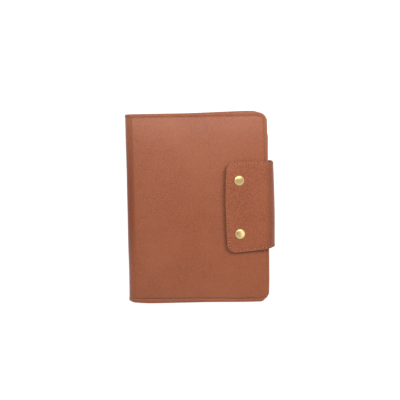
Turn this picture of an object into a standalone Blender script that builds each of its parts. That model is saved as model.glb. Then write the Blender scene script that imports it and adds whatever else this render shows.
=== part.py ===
"""Leather notebook cover for an A5 notebook, closed by a strap with two press studs.

The cover lies on its back, front face up: +X runs from the spine to the fore edge, +Y to the
head of the book, +Z up through its thickness. The origin is under the middle of its box.
Every leather sheet is laid out flat first, as a maker cuts it, and then bent into place.
"""

import math

import bmesh
import bpy
from mathutils import Matrix, Vector

MM = 0.001
GAP = 0.25 * MM

# Cover: the closed size that an A5 notebook needs
COVER_WIDTH = 170 * MM
COVER_HEIGHT = 228 * MM
COVER_THICK = 26 * MM
SPINE_RADIUS = 11 * MM
CORNER_RADIUS = 11.4 * MM

# Rim: the turned edge outside the line of stitches
RIM_WIDTH = 3.6 * MM
RIM_DROP = 0.5 * MM
RIM_ROLL = 1.2 * MM
SHOULDER = 1.2 * MM

# Layers of each cover, from the outside in
LEATHER = 1.3 * MM
FOAM = 1.0 * MM
BOARD = 1.3 * MM
LINING = 0.7 * MM
CARD = 0.7 * MM
POCKET = 0.9 * MM
STIFFENER = 1.0 * MM

FOAM_DEPTH = LEATHER + GAP
BOARD_DEPTH = FOAM_DEPTH + FOAM + GAP
LINING_DEPTH = BOARD_DEPTH + BOARD + GAP
COVER_DEPTH = LINING_DEPTH + LINING
CARD_DEPTH = COVER_DEPTH + GAP
POCKET_DEPTH = CARD_DEPTH + CARD + GAP
PAGE_DEPTH = POCKET_DEPTH + POCKET + GAP
STIFFENER_DEPTH = LEATHER + GAP
SPINE_LINING_DEPTH = STIFFENER_DEPTH + STIFFENER + GAP
LINING_EASE = 5 * MM

# Notebook held in the two sleeves
PAGE_WIDTH = 147 * MM
PAGE_HEIGHT = 210 * MM
PAGE_CORNER = 5 * MM
CARD_MARGIN = 1 * MM
SIGNATURES = 6
NOTEBOOK_BACK = 8 * MM
SPINE_TAPE = 0.7 * MM
POCKET_REACH = 72 * MM
POCKET_SEAM = 4.5 * MM
POCKET_INSET = 0.8 * MM

# Strap that comes out of the back cover's fore edge and closes over the front
STRAP_LEATHER = 1.2 * MM
STRAP_LINING = 0.9 * MM
STRAP_THICK = STRAP_LEATHER + GAP + STRAP_LINING
STRAP_LIFT = 3.0 * MM
STRAP_BULGE = 7.4 * MM
STRAP_TOP_RADIUS = 9 * MM
STRAP_FOOT_RADIUS = 6.5 * MM
STRAP_FOOT_HEIGHT = 1.9 * MM
STRAP_TAB = 3.3 * MM
FLAP_REACH = 50.5 * MM
FLAP_CROWN = 3.2 * MM
FLAP_HALF_WIDTH = 54.6 * MM
FLAP_HEAD_CORNER = 9.5 * MM
FLAP_TAIL_CORNER = 11 * MM
FLAP_CROWN_RADIUS = 480 * MM
STRAP_HEAD = 53.8 * MM
STRAP_TAIL = 50.8 * MM

# Press studs
STUD_FROM_EDGE = 35.2 * MM
STUD_SPACING = 64 * MM
CAP_RADIUS = 6 * MM
CAP_EDGE = 0.6 * MM
CAP_DOME = 1.5 * MM
POST_RADIUS = 1.5 * MM
SOCKET_RADIUS = 4.8 * MM
SOCKET_BORE = 2.35 * MM
SOCKET_HEIGHT = 1.6 * MM
STUD_FLANGE_RADIUS = 4.5 * MM
STUD_FLANGE = 0.5 * MM
NUB_RADIUS = 2.05 * MM
NUB_HEIGHT = 1.5 * MM
POST_FLANGE_RADIUS = 4 * MM
POST_FLANGE = 0.45 * MM

# Facets
BEND_STEPS = 12
CORNER_STEPS = 6
ROUND_STEPS = 28

# Places that follow from the sizes above
SHIFT_X = (COVER_WIDTH + STRAP_BULGE) / 2
HALF_FLAT = COVER_THICK / 2 - SPINE_RADIUS
QUARTER_BEND = SPINE_RADIUS * math.pi / 2
BEND_END = HALF_FLAT + QUARTER_BEND
FOLD_AT = HALF_FLAT + QUARTER_BEND / 2
HALF_GIRTH = BEND_END + COVER_WIDTH - SPINE_RADIUS
BOARD_START = BEND_END + LINING_EASE + GAP
STUD_X = COVER_WIDTH - STUD_FROM_EDGE
STUD_YS = {"upper": STUD_SPACING / 2, "lower": -STUD_SPACING / 2}

STRAP_TOP = COVER_THICK + STRAP_LIFT + STRAP_THICK
STRAP_RIGHT = COVER_WIDTH + STRAP_BULGE
TOP_BEND = STRAP_TOP_RADIUS * math.pi / 2
STRAP_SIDE = STRAP_TOP - STRAP_TOP_RADIUS - STRAP_FOOT_HEIGHT - STRAP_FOOT_RADIUS
FOOT_START = TOP_BEND + STRAP_SIDE
FOOT_BEND = STRAP_FOOT_RADIUS * math.pi / 2
FLAP_FOLD_AT = TOP_BEND / 2
SIDE_FOLD_AT = FOOT_START + FOOT_BEND / 2
TOP_TANGENT_X = STRAP_RIGHT - STRAP_TOP_RADIUS
FOOT_TANGENT_X = STRAP_RIGHT - STRAP_FOOT_RADIUS
STRAP_END = FOOT_START + FOOT_BEND + FOOT_TANGENT_X - COVER_WIDTH + STRAP_TAB


# Bends: where a point of a flat sheet goes once the sheet is folded round the book

def around_spine(run, across, height):
    """A point of the cover's flat sheet, run measured from the middle of the spine."""
    depth = -height
    travel = abs(run)
    if travel <= HALF_FLAT:
        x, rise = depth, travel
    elif travel <= BEND_END:
        turn = (travel - HALF_FLAT) / SPINE_RADIUS
        x = SPINE_RADIUS - (SPINE_RADIUS - depth) * math.cos(turn)
        rise = HALF_FLAT + (SPINE_RADIUS - depth) * math.sin(turn)
    else:
        x, rise = SPINE_RADIUS + travel - BEND_END, COVER_THICK / 2 - depth
    return Vector((x - SHIFT_X, across, COVER_THICK / 2 + math.copysign(rise, run)))


def lining_round_spine(run, across, height):
    """A point of the lining, which dips from the boards to the spine beside each fold."""
    share = min(max((abs(run) - BEND_END) / LINING_EASE, 0), 1)
    eased = share * share * (3 - 2 * share)
    depth = SPINE_LINING_DEPTH + (LINING_DEPTH - SPINE_LINING_DEPTH) * eased
    return around_spine(run, across, height - depth)


def along_strap(run, across, height):
    """A point of the strap's flat sheet, run measured from the start of its top bend."""
    depth = -height
    if run <= 0:
        x, z = TOP_TANGENT_X + run, STRAP_TOP - depth
    elif run <= TOP_BEND:
        turn = run / STRAP_TOP_RADIUS
        x = TOP_TANGENT_X + (STRAP_TOP_RADIUS - depth) * math.sin(turn)
        z = STRAP_TOP - STRAP_TOP_RADIUS + (STRAP_TOP_RADIUS - depth) * math.cos(turn)
    elif run <= FOOT_START:
        x, z = STRAP_RIGHT - depth, STRAP_TOP - STRAP_TOP_RADIUS - (run - TOP_BEND)
    elif run <= FOOT_START + FOOT_BEND:
        turn = (run - FOOT_START) / STRAP_FOOT_RADIUS
        x = FOOT_TANGENT_X + (STRAP_FOOT_RADIUS - depth) * math.cos(turn)
        z = STRAP_FOOT_HEIGHT + STRAP_FOOT_RADIUS - (STRAP_FOOT_RADIUS - depth) * math.sin(turn)
    else:
        x, z = FOOT_TANGENT_X - (run - FOOT_START - FOOT_BEND), STRAP_FOOT_HEIGHT + depth
    return Vector((x - SHIFT_X, across, z))


def stations(start, length):
    """Places along a sheet where a bend needs an edge."""
    return [start + length * step / BEND_STEPS for step in range(BEND_STEPS + 1)]


SPINE_STATIONS = stations(-BEND_END, QUARTER_BEND) + stations(HALF_FLAT, QUARTER_BEND)
EASE_STATIONS = [side * place for side in (-1, 1) for place in stations(BEND_END, LINING_EASE)[::3]]
STRAP_STATIONS = stations(0, TOP_BEND) + stations(FOOT_START, FOOT_BEND)


# Outlines and solids

def rounded_polygon(corners):
    """Points round a polygon of (x, y, radius) corners, listed counter-clockwise."""
    points = []
    for index, (x, y, radius) in enumerate(corners):
        corner = Vector((x, y))
        before = (Vector(corners[index - 1][:2]) - corner).normalized()
        after = (Vector(corners[(index + 1) % len(corners)][:2]) - corner).normalized()
        if radius == 0:
            points.append(corner)
            continue
        half = before.angle(after) / 2
        centre = corner + (before + after).normalized() * (radius / math.sin(half))
        start = corner + before * (radius / math.tan(half)) - centre
        turn = (math.pi - 2 * half) * math.copysign(1, before.cross(after) * -1)
        for step in range(CORNER_STEPS + 1):
            spin = Matrix.Rotation(turn * step / CORNER_STEPS, 2)
            points.append(centre + spin @ start)
    return points


def rectangle(left, right, foot, head, left_radius=0, right_radius=0):
    return rounded_polygon([
        (left, foot, left_radius),
        (right, foot, right_radius),
        (right, head, right_radius),
        (left, head, left_radius),
    ])


def plate(outline, top, bottom):
    """A flat closed solid of that outline. Returns the mesh, its top face and its bottom face."""
    mesh = bmesh.new()
    upper = mesh.faces.new([mesh.verts.new((point.x, point.y, top)) for point in outline])
    upper.normal_update()
    lower = bmesh.ops.extrude_face_region(mesh, geom=[upper], use_keep_orig=True)["geom"]
    moved = [item for item in lower if isinstance(item, bmesh.types.BMVert)]
    lower_face = next(item for item in lower if isinstance(item, bmesh.types.BMFace))
    bmesh.ops.translate(mesh, verts=moved, vec=(0, 0, bottom - top))
    bmesh.ops.recalc_face_normals(mesh, faces=mesh.faces)
    return mesh, upper, lower_face


def cut_between(mesh, start, end):
    """Keeps the stretch of a flat sheet between two places along it, with its ends closed."""
    for place, keep in ((start, 1), (end, -1)):
        if place is None:
            continue
        geometry = mesh.verts[:] + mesh.edges[:] + mesh.faces[:]
        cut = bmesh.ops.bisect_plane(
            mesh, geom=geometry, dist=1e-7, plane_co=(place, 0, 0), plane_no=(keep, 0, 0), clear_inner=True)
        edges = [item for item in cut["geom_cut"] if isinstance(item, bmesh.types.BMEdge)]
        bmesh.ops.edgeloop_fill(mesh, edges=edges)
    bmesh.ops.recalc_face_normals(mesh, faces=mesh.faces)


def bend(mesh, places, mapping):
    """Gives a flat sheet an edge at each place and moves every point to where it is folded."""
    for place in places:
        geometry = mesh.verts[:] + mesh.edges[:] + mesh.faces[:]
        bmesh.ops.bisect_plane(mesh, geom=geometry, dist=1e-7, plane_co=(place, 0, 0), plane_no=(1, 0, 0))
    for vert in mesh.verts:
        vert.co = mapping(*vert.co)


def material(name, colour, roughness, metallic=0.0):
    made = bpy.data.materials.new(name)
    made.use_nodes = True
    shader = made.node_tree.nodes["Principled BSDF"]
    shader.inputs["Base Color"].default_value = (*colour, 1)
    shader.inputs["Roughness"].default_value = roughness
    shader.inputs["Metallic"].default_value = metallic
    made.diffuse_color = (*colour, 1)
    return made


def place(name, mesh, finish, hinge=None):
    """Makes a named object of a mesh that is already where it belongs, carried by its hinge."""
    data = bpy.data.meshes.new(name)
    mesh.to_mesh(data)
    mesh.free()
    made = bpy.data.objects.new(name, data)
    bpy.context.scene.collection.objects.link(made)
    data.materials.append(finish)
    data.shade_smooth()
    data.set_sharp_from_angle(angle=math.radians(35))
    if hinge:
        made.parent = hinge
        made.matrix_parent_inverse = hinge.matrix_world.inverted()
    return made


def hinge_at(name, point, parent=None):
    """An empty on a fold's axis, which runs along Y."""
    made = bpy.data.objects.new(name, None)
    bpy.context.scene.collection.objects.link(made)
    made.location = point
    if parent:
        made.parent = parent
        made.location = Vector(point) - Vector(parent.location)
        made.matrix_parent_inverse = Matrix.Identity(4)
    return made


def box(left, right, foot, head, bottom, top):
    return plate(rectangle(left - SHIFT_X, right - SHIFT_X, foot, head), top, bottom)[0]


def turned(profile, x, y):
    """A solid of revolution about a vertical axis from (radius, z) points, top to bottom."""
    mesh = bmesh.new()
    verts = [mesh.verts.new((radius, 0, z)) for radius, z in profile]
    edges = [mesh.edges.new(pair) for pair in zip(verts, verts[1:])]
    bmesh.ops.spin(
        mesh, geom=verts + edges, cent=(0, 0, 0), axis=(0, 0, 1), angle=math.tau,
        steps=ROUND_STEPS, use_merge=True)
    bmesh.ops.remove_doubles(mesh, verts=mesh.verts, dist=1e-6)
    bmesh.ops.recalc_face_normals(mesh, faces=mesh.faces)
    bmesh.ops.translate(mesh, verts=mesh.verts, vec=(x - SHIFT_X, y, 0))
    return mesh


def cutter(name, meshes):
    """One hidden object of several cutting solids."""
    joined = bpy.data.meshes.new(name)
    whole = bmesh.new()
    for mesh in meshes:
        mesh.to_mesh(joined)
        whole.from_mesh(joined)
        mesh.free()
    whole.to_mesh(joined)
    whole.free()
    made = bpy.data.objects.new(name, joined)
    bpy.context.scene.collection.objects.link(made)
    made.hide_render = True
    made.display_type = "WIRE"
    return made


def cut(target, tool):
    modifier = target.modifiers.new("cut by " + tool.name, "BOOLEAN")
    modifier.operation = "DIFFERENCE"
    modifier.solver = "EXACT"
    modifier.object = tool


def at_studs(make):
    """The same turned solid at both press studs."""
    return [make(STUD_X, y) for y in STUD_YS.values()]


# Cover

def flat_hide():
    """The outer leather before it is bent: a raised panel inside a thick turned rim."""
    outline = rectangle(
        -HALF_GIRTH, HALF_GIRTH, -COVER_HEIGHT / 2, COVER_HEIGHT / 2, CORNER_RADIUS, CORNER_RADIUS)
    mesh, top, bottom = plate(outline, -RIM_DROP, -COVER_DEPTH)
    edges = list(top.edges) + list(bottom.edges)
    rolled = bmesh.ops.bevel(
        mesh, geom=edges, offset=RIM_ROLL, offset_type="OFFSET", segments=3, profile=0.5, affect="EDGES")
    faces = sorted(set(mesh.faces) - set(rolled["faces"]), key=lambda face: face.calc_center_median().z)
    bottom, top = faces[0], faces[-1]
    bmesh.ops.inset_region(mesh, faces=[top], thickness=RIM_WIDTH - RIM_ROLL)
    bmesh.ops.inset_region(mesh, faces=[top], thickness=SHOULDER)
    bmesh.ops.translate(mesh, verts=top.verts, vec=(0, 0, RIM_DROP))
    bmesh.ops.inset_region(mesh, faces=[bottom], thickness=RIM_WIDTH - RIM_ROLL)
    deep = bmesh.ops.extrude_face_region(mesh, geom=[bottom])["geom"]
    raised = [item for item in deep if isinstance(item, bmesh.types.BMVert)]
    bmesh.ops.translate(mesh, verts=raised, vec=(0, 0, COVER_DEPTH - LEATHER))
    bmesh.ops.delete(mesh, geom=[bottom], context="FACES_ONLY")
    bmesh.ops.recalc_face_normals(mesh, faces=mesh.faces)
    return mesh


def sheet(start, end, half_height, thick, fore_radius=0):
    """A plain flat sheet with its outer face at height 0, rounded at its fore-edge corners."""
    radii = (fore_radius, 0) if start < -FOLD_AT else (0, fore_radius)
    return plate(rectangle(start, end, -half_height, half_height, *radii), 0, -thick)[0]


def cover_sheets(finishes, hinges):
    """Outer leather and lining, each one sheet in three lengths that meet at the folds."""
    lengths = {
        "back": (None, -FOLD_AT - GAP / 2),
        "spine": (-FOLD_AT + GAP / 2, FOLD_AT - GAP / 2),
        "front": (FOLD_AT + GAP / 2, None),
    }
    made = {}
    inside = COVER_HEIGHT / 2 - RIM_WIDTH - GAP
    edge = HALF_GIRTH - RIM_WIDTH - GAP
    for side, (start, end) in lengths.items():
        hide = flat_hide()
        cut_between(hide, start, end)
        bend(hide, SPINE_STATIONS, around_spine)
        made[side] = place(side + "_leather", hide, finishes["leather"], hinges.get(side))
        lining = sheet(
            -edge if start is None else start, edge if end is None else end, inside, LINING,
            CORNER_RADIUS - RIM_WIDTH)
        bend(lining, SPINE_STATIONS + EASE_STATIONS, lining_round_spine)
        place(side + "_lining", lining, finishes["lining"], hinges.get(side))
    stiffener = sheet(-FOLD_AT + 1 * MM, FOLD_AT - 1 * MM, inside, STIFFENER)
    bmesh.ops.translate(stiffener, verts=stiffener.verts, vec=(0, 0, -STIFFENER_DEPTH))
    bend(stiffener, SPINE_STATIONS, around_spine)
    place("spine_stiffener", stiffener, finishes["board"], hinges["spine"])
    return made


def layer(side, depth, thick, start, end, half_height, radius):
    """A flat layer of one cover at a depth below its outer face, from start to end along X."""
    outline = rectangle(start - SHIFT_X, end - SHIFT_X, -half_height, half_height, 0, radius)
    top = COVER_THICK - depth if side == "front" else depth + thick
    return plate(outline, top, top - thick)[0]


def cover_fillings(finishes, hinges):
    """Foam and board inside each cover."""
    start = SPINE_RADIUS + LINING_EASE + GAP
    end = COVER_WIDTH - RIM_WIDTH - GAP
    half_height = COVER_HEIGHT / 2 - RIM_WIDTH - GAP
    radius = CORNER_RADIUS - RIM_WIDTH
    made = {}
    for side in ("back", "front"):
        foam = layer(side, FOAM_DEPTH, FOAM, start, end, half_height, radius)
        made[side, "foam"] = place(side + "_foam", foam, finishes["foam"], hinges.get(side))
        board = layer(side, BOARD_DEPTH, BOARD, start, end, half_height, radius)
        made[side, "board"] = place(side + "_board", board, finishes["board"], hinges.get(side))
    return made


def pockets(finishes, hinges):
    """A sleeve in each cover, sewn on three sides and open towards the spine."""
    mouth = COVER_WIDTH - POCKET_REACH
    edge = COVER_WIDTH - POCKET_INSET
    half_height = COVER_HEIGHT / 2 - POCKET_INSET
    slot_height = COVER_HEIGHT / 2 - POCKET_SEAM
    depth_of_slot = POCKET_DEPTH - CARD_DEPTH
    for side in ("back", "front"):
        sleeve = layer(
            side, CARD_DEPTH, depth_of_slot + POCKET, mouth, edge, half_height, CORNER_RADIUS - POCKET_INSET)
        slot = layer(
            side, CARD_DEPTH - POCKET, depth_of_slot + POCKET, mouth - POCKET_SEAM, COVER_WIDTH - POCKET_SEAM,
            slot_height, CORNER_RADIUS - POCKET_SEAM)
        made = place(side + "_pocket", sleeve, finishes["pocket"], hinges.get(side))
        cut(made, cutter(side + "_slot", [slot]))


# Notebook

def notebook(finishes, hinges):
    """Card covers in the sleeves, a sewn text block in sections, and its tape at the spine."""
    tape_start = NOTEBOOK_BACK + GAP
    page_start = tape_start + SPINE_TAPE + GAP
    for side in ("back", "front"):
        card = layer(
            side, CARD_DEPTH, CARD, tape_start, page_start + PAGE_WIDTH + CARD_MARGIN,
            PAGE_HEIGHT / 2 + CARD_MARGIN, PAGE_CORNER)
        place(f"notebook_{side}_cover", card, finishes["card"], hinges.get(side))
    block = COVER_THICK - 2 * PAGE_DEPTH
    thick = (block - (SIGNATURES - 1) * GAP) / SIGNATURES
    for number in range(SIGNATURES):
        upper = number >= SIGNATURES // 2
        bottom = PAGE_DEPTH + number * (thick + GAP)
        section = layer(
            "back", bottom, thick, page_start, page_start + PAGE_WIDTH, PAGE_HEIGHT / 2, PAGE_CORNER)
        place(f"signature_{number + 1}", section, finishes["paper"], hinges["pages"] if upper else None)
    tape_bottom = CARD_DEPTH + CARD + GAP
    middle = COVER_THICK / 2
    spans = {
        "lower": (tape_bottom, middle - GAP / 2, None),
        "upper": (middle + GAP / 2, COVER_THICK - tape_bottom, hinges["pages"]),
    }
    for half, (bottom, top, hinge) in spans.items():
        tape = box(
            tape_start, tape_start + SPINE_TAPE, -PAGE_HEIGHT / 2, PAGE_HEIGHT / 2, bottom, top)
        place(f"notebook_spine_{half}", tape, finishes["tape"], hinge)


# Strap

def strap_outline():
    """The strap cut flat: a crowned, rounded tip that narrows to the fold, then runs to its tab."""
    tip = COVER_WIDTH - FLAP_REACH - TOP_TANGENT_X
    return rounded_polygon([
        (tip, -FLAP_HALF_WIDTH, FLAP_TAIL_CORNER),
        (0, -STRAP_TAIL, 0),
        (STRAP_END, -STRAP_TAIL, 0),
        (STRAP_END, STRAP_HEAD, 0),
        (0, STRAP_HEAD, 0),
        (tip, FLAP_HALF_WIDTH, FLAP_HEAD_CORNER),
        (tip - FLAP_CROWN, 0, FLAP_CROWN_RADIUS),
    ])


def strap(finishes, hinges):
    """Two sewn layers, each in three lengths that meet at the strap's two folds."""
    layers = {
        "leather": (0, STRAP_LEATHER),
        "lining": (STRAP_LEATHER + GAP, STRAP_LINING),
    }
    lengths = {
        "flap": (None, FLAP_FOLD_AT - GAP / 2),
        "strap_side": (FLAP_FOLD_AT + GAP / 2, SIDE_FOLD_AT - GAP / 2),
        "strap_root": (SIDE_FOLD_AT + GAP / 2, None),
    }
    made = {}
    for part, (start, end) in lengths.items():
        for kind, (depth, thick) in layers.items():
            mesh = plate(strap_outline(), -depth, -depth - thick)[0]
            cut_between(mesh, start, end)
            bend(mesh, STRAP_STATIONS, along_strap)
            made[part, kind] = place(f"{part}_{kind}", mesh, finishes["leather"], hinges.get(part))
    return made


def strap_slot():
    """The space in the back cover's rim where the strap's tab is sewn in."""
    return box(
        COVER_WIDTH - RIM_WIDTH - RIM_WIDTH, COVER_WIDTH + RIM_WIDTH, -STRAP_TAIL - GAP, STRAP_HEAD + GAP,
        STRAP_FOOT_HEIGHT - GAP, COVER_DEPTH + RIM_WIDTH)


# Press studs

def cap_at(x, y):
    """A domed cap with the post that holds it to the flap."""
    base = STRAP_TOP + GAP
    foot = STRAP_TOP - STRAP_THICK - 2 * GAP
    steps = CORNER_STEPS
    radius = (CAP_RADIUS ** 2 + CAP_DOME ** 2) / (2 * CAP_DOME)
    half = math.asin(CAP_RADIUS / radius)
    centre = base + CAP_EDGE + CAP_DOME - radius
    dome = [
        (radius * math.sin(half * step / steps), centre + radius * math.cos(half * step / steps))
        for step in range(steps + 1)
    ]
    return turned(dome + [(CAP_RADIUS, base), (POST_RADIUS, base), (POST_RADIUS, foot), (0, foot)], x, y)


def socket_at(x, y):
    top = STRAP_TOP - STRAP_THICK - GAP
    bottom = top - SOCKET_HEIGHT
    profile = [
        (SOCKET_BORE, top), (SOCKET_RADIUS, top), (SOCKET_RADIUS, bottom), (SOCKET_BORE, bottom),
        (SOCKET_BORE, top),
    ]
    return turned(profile, x, y)


def stud_at(x, y):
    """A flange and nub on the front cover, bored for the post behind it."""
    base = COVER_THICK + GAP
    top = base + STUD_FLANGE + NUB_HEIGHT
    bore = POST_RADIUS + GAP
    roof = top - STUD_FLANGE
    return turned([
        (0, top), (NUB_RADIUS, top), (NUB_RADIUS, base + STUD_FLANGE),
        (STUD_FLANGE_RADIUS, base + STUD_FLANGE), (STUD_FLANGE_RADIUS, base), (bore, base),
        (bore, roof), (0, roof),
    ], x, y)


def post_at(x, y):
    """The rivet that holds a stud, its flange let into the back of the board."""
    top = COVER_THICK + STUD_FLANGE + NUB_HEIGHT - STUD_FLANGE - GAP
    bottom = COVER_THICK - BOARD_DEPTH - BOARD
    flange = bottom + POST_FLANGE
    return turned([
        (0, top), (POST_RADIUS, top), (POST_RADIUS, flange), (POST_FLANGE_RADIUS, flange),
        (POST_FLANGE_RADIUS, bottom), (0, bottom),
    ], x, y)


def round_hole(radius, bottom, top):
    return at_studs(lambda x, y: turned([(0, top), (radius, top), (radius, bottom), (0, bottom)], x, y))


def press_studs(finishes, hinges, leathers, fillings, strap_parts):
    makers = {
        "snap_cap": (cap_at, "flap"),
        "snap_socket": (socket_at, "flap"),
        "snap_stud": (stud_at, "front"),
        "snap_post": (post_at, "front"),
    }
    for kind, (make, carrier) in makers.items():
        for level, y in STUD_YS.items():
            place(f"{level}_{kind}", make(STUD_X, y), finishes["brass"], hinges[carrier])
    hole = POST_RADIUS + GAP
    through = cutter("post_holes", round_hole(hole, COVER_THICK / 2, STRAP_TOP + CAP_RADIUS))
    recess_top = COVER_THICK - BOARD_DEPTH - BOARD + POST_FLANGE + GAP
    recess = cutter("post_recesses", round_hole(POST_FLANGE_RADIUS + GAP, COVER_THICK / 2, recess_top))
    pierced = [
        leathers["front"], fillings["front", "foam"], fillings["front", "board"],
        strap_parts["flap", "leather"], strap_parts["flap", "lining"],
    ]
    for target in pierced:
        cut(target, through)
    cut(fillings["front", "board"], recess)


def clear_scene():
    for old in list(bpy.data.objects):
        bpy.data.objects.remove(old)


def all_finishes():
    return {
        "leather": material("tan_leather", (0.40, 0.135, 0.065), 0.5),
        "pocket": material("pocket_leather", (0.36, 0.12, 0.055), 0.6),
        "lining": material("twill_lining", (0.50, 0.36, 0.22), 0.9),
        "foam": material("foam", (0.75, 0.74, 0.70), 0.95),
        "board": material("grey_board", (0.42, 0.40, 0.36), 0.9),
        "card": material("kraft_card", (0.47, 0.32, 0.19), 0.8),
        "paper": material("paper", (0.86, 0.83, 0.74), 0.85),
        "tape": material("spine_tape", (0.10, 0.09, 0.08), 0.8),
        "brass": material("brass", (0.72, 0.55, 0.24), 0.28, 1.0),
    }


def all_hinges():
    """Empties on the axes of the folds, each on the outer face of the leather that bends."""
    spine = hinge_at("spine_hinge", around_spine(-FOLD_AT, 0, 0))
    side = hinge_at("strap_side_hinge", along_strap(SIDE_FOLD_AT, 0, 0))
    hinges = {
        "spine": spine,
        "front": hinge_at("front_hinge", around_spine(FOLD_AT, 0, 0), spine),
        "pages": hinge_at("page_hinge", (NOTEBOOK_BACK - SHIFT_X, 0, COVER_THICK / 2)),
        "strap_side": side,
        "flap": hinge_at("flap_hinge", along_strap(FLAP_FOLD_AT, 0, 0), side),
    }
    bpy.context.view_layer.update()
    return hinges


def build():
    clear_scene()
    finishes = all_finishes()
    hinges = all_hinges()
    leathers = cover_sheets(finishes, hinges)
    fillings = cover_fillings(finishes, hinges)
    pockets(finishes, hinges)
    notebook(finishes, hinges)
    strap_parts = strap(finishes, hinges)
    cut(leathers["back"], cutter("strap_slot", [strap_slot()]))
    press_studs(finishes, hinges, leathers, fillings, strap_parts)
    bpy.context.view_layer.update()
    for name in ("spine", "front", "pages", "strap_side", "flap"):
        print(name, "axis passes", [round(value, 6) for value in hinges[name].matrix_world.translation])


build()
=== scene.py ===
# %% [markdown]
# # A leather notebook cover
#
# This lesson dresses a plain CAD model of a leather notebook cover: one hide round two padded
# boards and a spine, a strap that wraps the fore edge and snaps shut, and a sewn notebook inside.
# The CAD pieces say where everything is and what moves. Each step makes one real piece or finish.

import math
import random

import bmesh
import bpy
from mathutils import Matrix, Vector


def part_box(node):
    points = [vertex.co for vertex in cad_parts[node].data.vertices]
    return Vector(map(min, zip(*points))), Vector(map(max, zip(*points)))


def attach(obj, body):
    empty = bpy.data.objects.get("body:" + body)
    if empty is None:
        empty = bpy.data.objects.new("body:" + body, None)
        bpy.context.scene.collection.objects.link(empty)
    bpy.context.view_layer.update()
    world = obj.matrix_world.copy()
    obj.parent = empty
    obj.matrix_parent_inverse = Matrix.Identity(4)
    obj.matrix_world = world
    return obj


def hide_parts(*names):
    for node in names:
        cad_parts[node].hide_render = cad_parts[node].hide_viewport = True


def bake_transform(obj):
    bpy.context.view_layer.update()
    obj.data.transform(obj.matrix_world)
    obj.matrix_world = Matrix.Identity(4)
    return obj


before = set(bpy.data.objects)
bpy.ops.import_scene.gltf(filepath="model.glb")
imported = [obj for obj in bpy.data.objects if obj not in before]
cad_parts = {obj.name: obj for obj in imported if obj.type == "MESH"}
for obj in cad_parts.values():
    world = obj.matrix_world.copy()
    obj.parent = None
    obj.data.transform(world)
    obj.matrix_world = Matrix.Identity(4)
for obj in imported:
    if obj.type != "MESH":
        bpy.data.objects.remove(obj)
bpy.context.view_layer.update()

# %% [markdown]
# The cover lies on its back. X runs from the spine to the fore edge, Y to the head and Z up. The
# few sizes that every piece shares are read from the CAD nodes or repeated from their drawing.

# %% Shared sizes
MM = 0.001
HAIR = MM / 10
X, Y, Z = 0, 1, 2
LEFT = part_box("spine_leather")[0].x
RIGHT, HEAD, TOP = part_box("front_leather")[1]
MIDDLE = TOP / 2
SPINE_RADIUS = 11 * MM
CORNER = 11.4 * MM
COVER_DEPTH = 5.05 * MM
BEND_X = LEFT + SPINE_RADIUS
BEND_Z = TOP - SPINE_RADIUS
print("cover", round((RIGHT - LEFT) / MM), "by", round(2 * HEAD / MM), "by", round(TOP / MM), "mm")

# %% [markdown]
# Modelling by hand means selecting a few faces and pressing a key. These helpers do the selecting:
# they deselect everything first, because an operator acts on all that is selected. Points, edges
# and faces are chosen by their place, so the steps still hold when a size changes.


# %% Helpers for selecting
def deselect():
    bpy.ops.object.select_all(action="DESELECT")


def only(piece):
    """Selects one piece and nothing else."""
    deselect()
    piece.select_set(True)
    bpy.context.view_layer.objects.active = piece


def edit(piece):
    only(piece)
    bpy.ops.object.mode_set(mode="EDIT")
    bpy.ops.mesh.select_all(action="DESELECT")


def finish_edit():
    bpy.ops.object.mode_set(mode="OBJECT")


def middle(item):
    """The middle of a point, an edge or a face."""
    if isinstance(item, bmesh.types.BMVert):
        return item.co
    if isinstance(item, bmesh.types.BMEdge):
        return (item.verts[0].co + item.verts[1].co) / 2
    return item.calc_center_median()


def above(axis, limit):
    """A test for what lies above a limit along one axis."""
    return lambda item: middle(item)[axis] > limit


def below(axis, limit):
    return lambda item: middle(item)[axis] < limit


def both(first, second):
    return lambda item: first(item) and second(item)


def pick(piece, kind, wanted):
    """Selects the points, edges or faces that a test chooses."""
    bpy.ops.mesh.select_mode(type=kind)
    bpy.ops.mesh.select_all(action="DESELECT")
    shape = bmesh.from_edit_mesh(piece.data)
    items = {"VERT": shape.verts, "EDGE": shape.edges, "FACE": shape.faces}[kind]
    for item in [item for item in items if wanted(item)]:
        item.select = True
    shape.select_flush_mode()
    bmesh.update_edit_mesh(piece.data)


print("selecting helpers ready")

# %% [markdown]
# Every piece ends with its object at the origin and its place in its mesh, as the CAD pieces have.
# These helpers add, name, copy, join and finish pieces in that way.


# %% Helpers for pieces
def called(piece, name):
    """Names a piece and its mesh."""
    piece.name = name
    piece.data.name = name
    return piece


def placed(name):
    """Names the primitive just added, and puts its place and size into its mesh."""
    bpy.ops.object.transform_apply(location=True, rotation=True, scale=True)
    return called(bpy.context.active_object, name)


def flat_sheet(name, left, right, foot, head, level):
    """A rectangle at its size and place, as the start of a sheet."""
    deselect()
    centre = ((left + right) / 2, (foot + head) / 2, level)
    bpy.ops.mesh.primitive_plane_add(size=1, location=centre)
    bpy.context.active_object.scale = (right - left, head - foot, 1)
    return placed(name)


def copy_of(piece, name):
    """A copy with its own mesh."""
    made = piece.copy()
    made.data = piece.data.copy()
    bpy.context.collection.objects.link(made)
    return called(made, name)


def join(copies, name):
    deselect()
    for copy in copies:
        copy.select_set(True)
    bpy.context.view_layer.objects.active = copies[0]
    bpy.ops.object.join()
    return called(bpy.context.active_object, name)


def apply_modifier(piece, kind, **settings):
    """Adds a modifier, sets it and applies it."""
    only(piece)
    modifier = piece.modifiers.new(kind.lower(), kind)
    for name, value in settings.items():
        setattr(modifier, name, value)
    bpy.ops.object.modifier_apply(modifier=modifier.name)


def smooth(piece, angle=50):
    only(piece)
    bpy.ops.object.shade_smooth_by_angle(angle=math.radians(angle))


def take_slots(piece, *finishes):
    for finish in finishes:
        piece.data.materials.append(finish)


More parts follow.
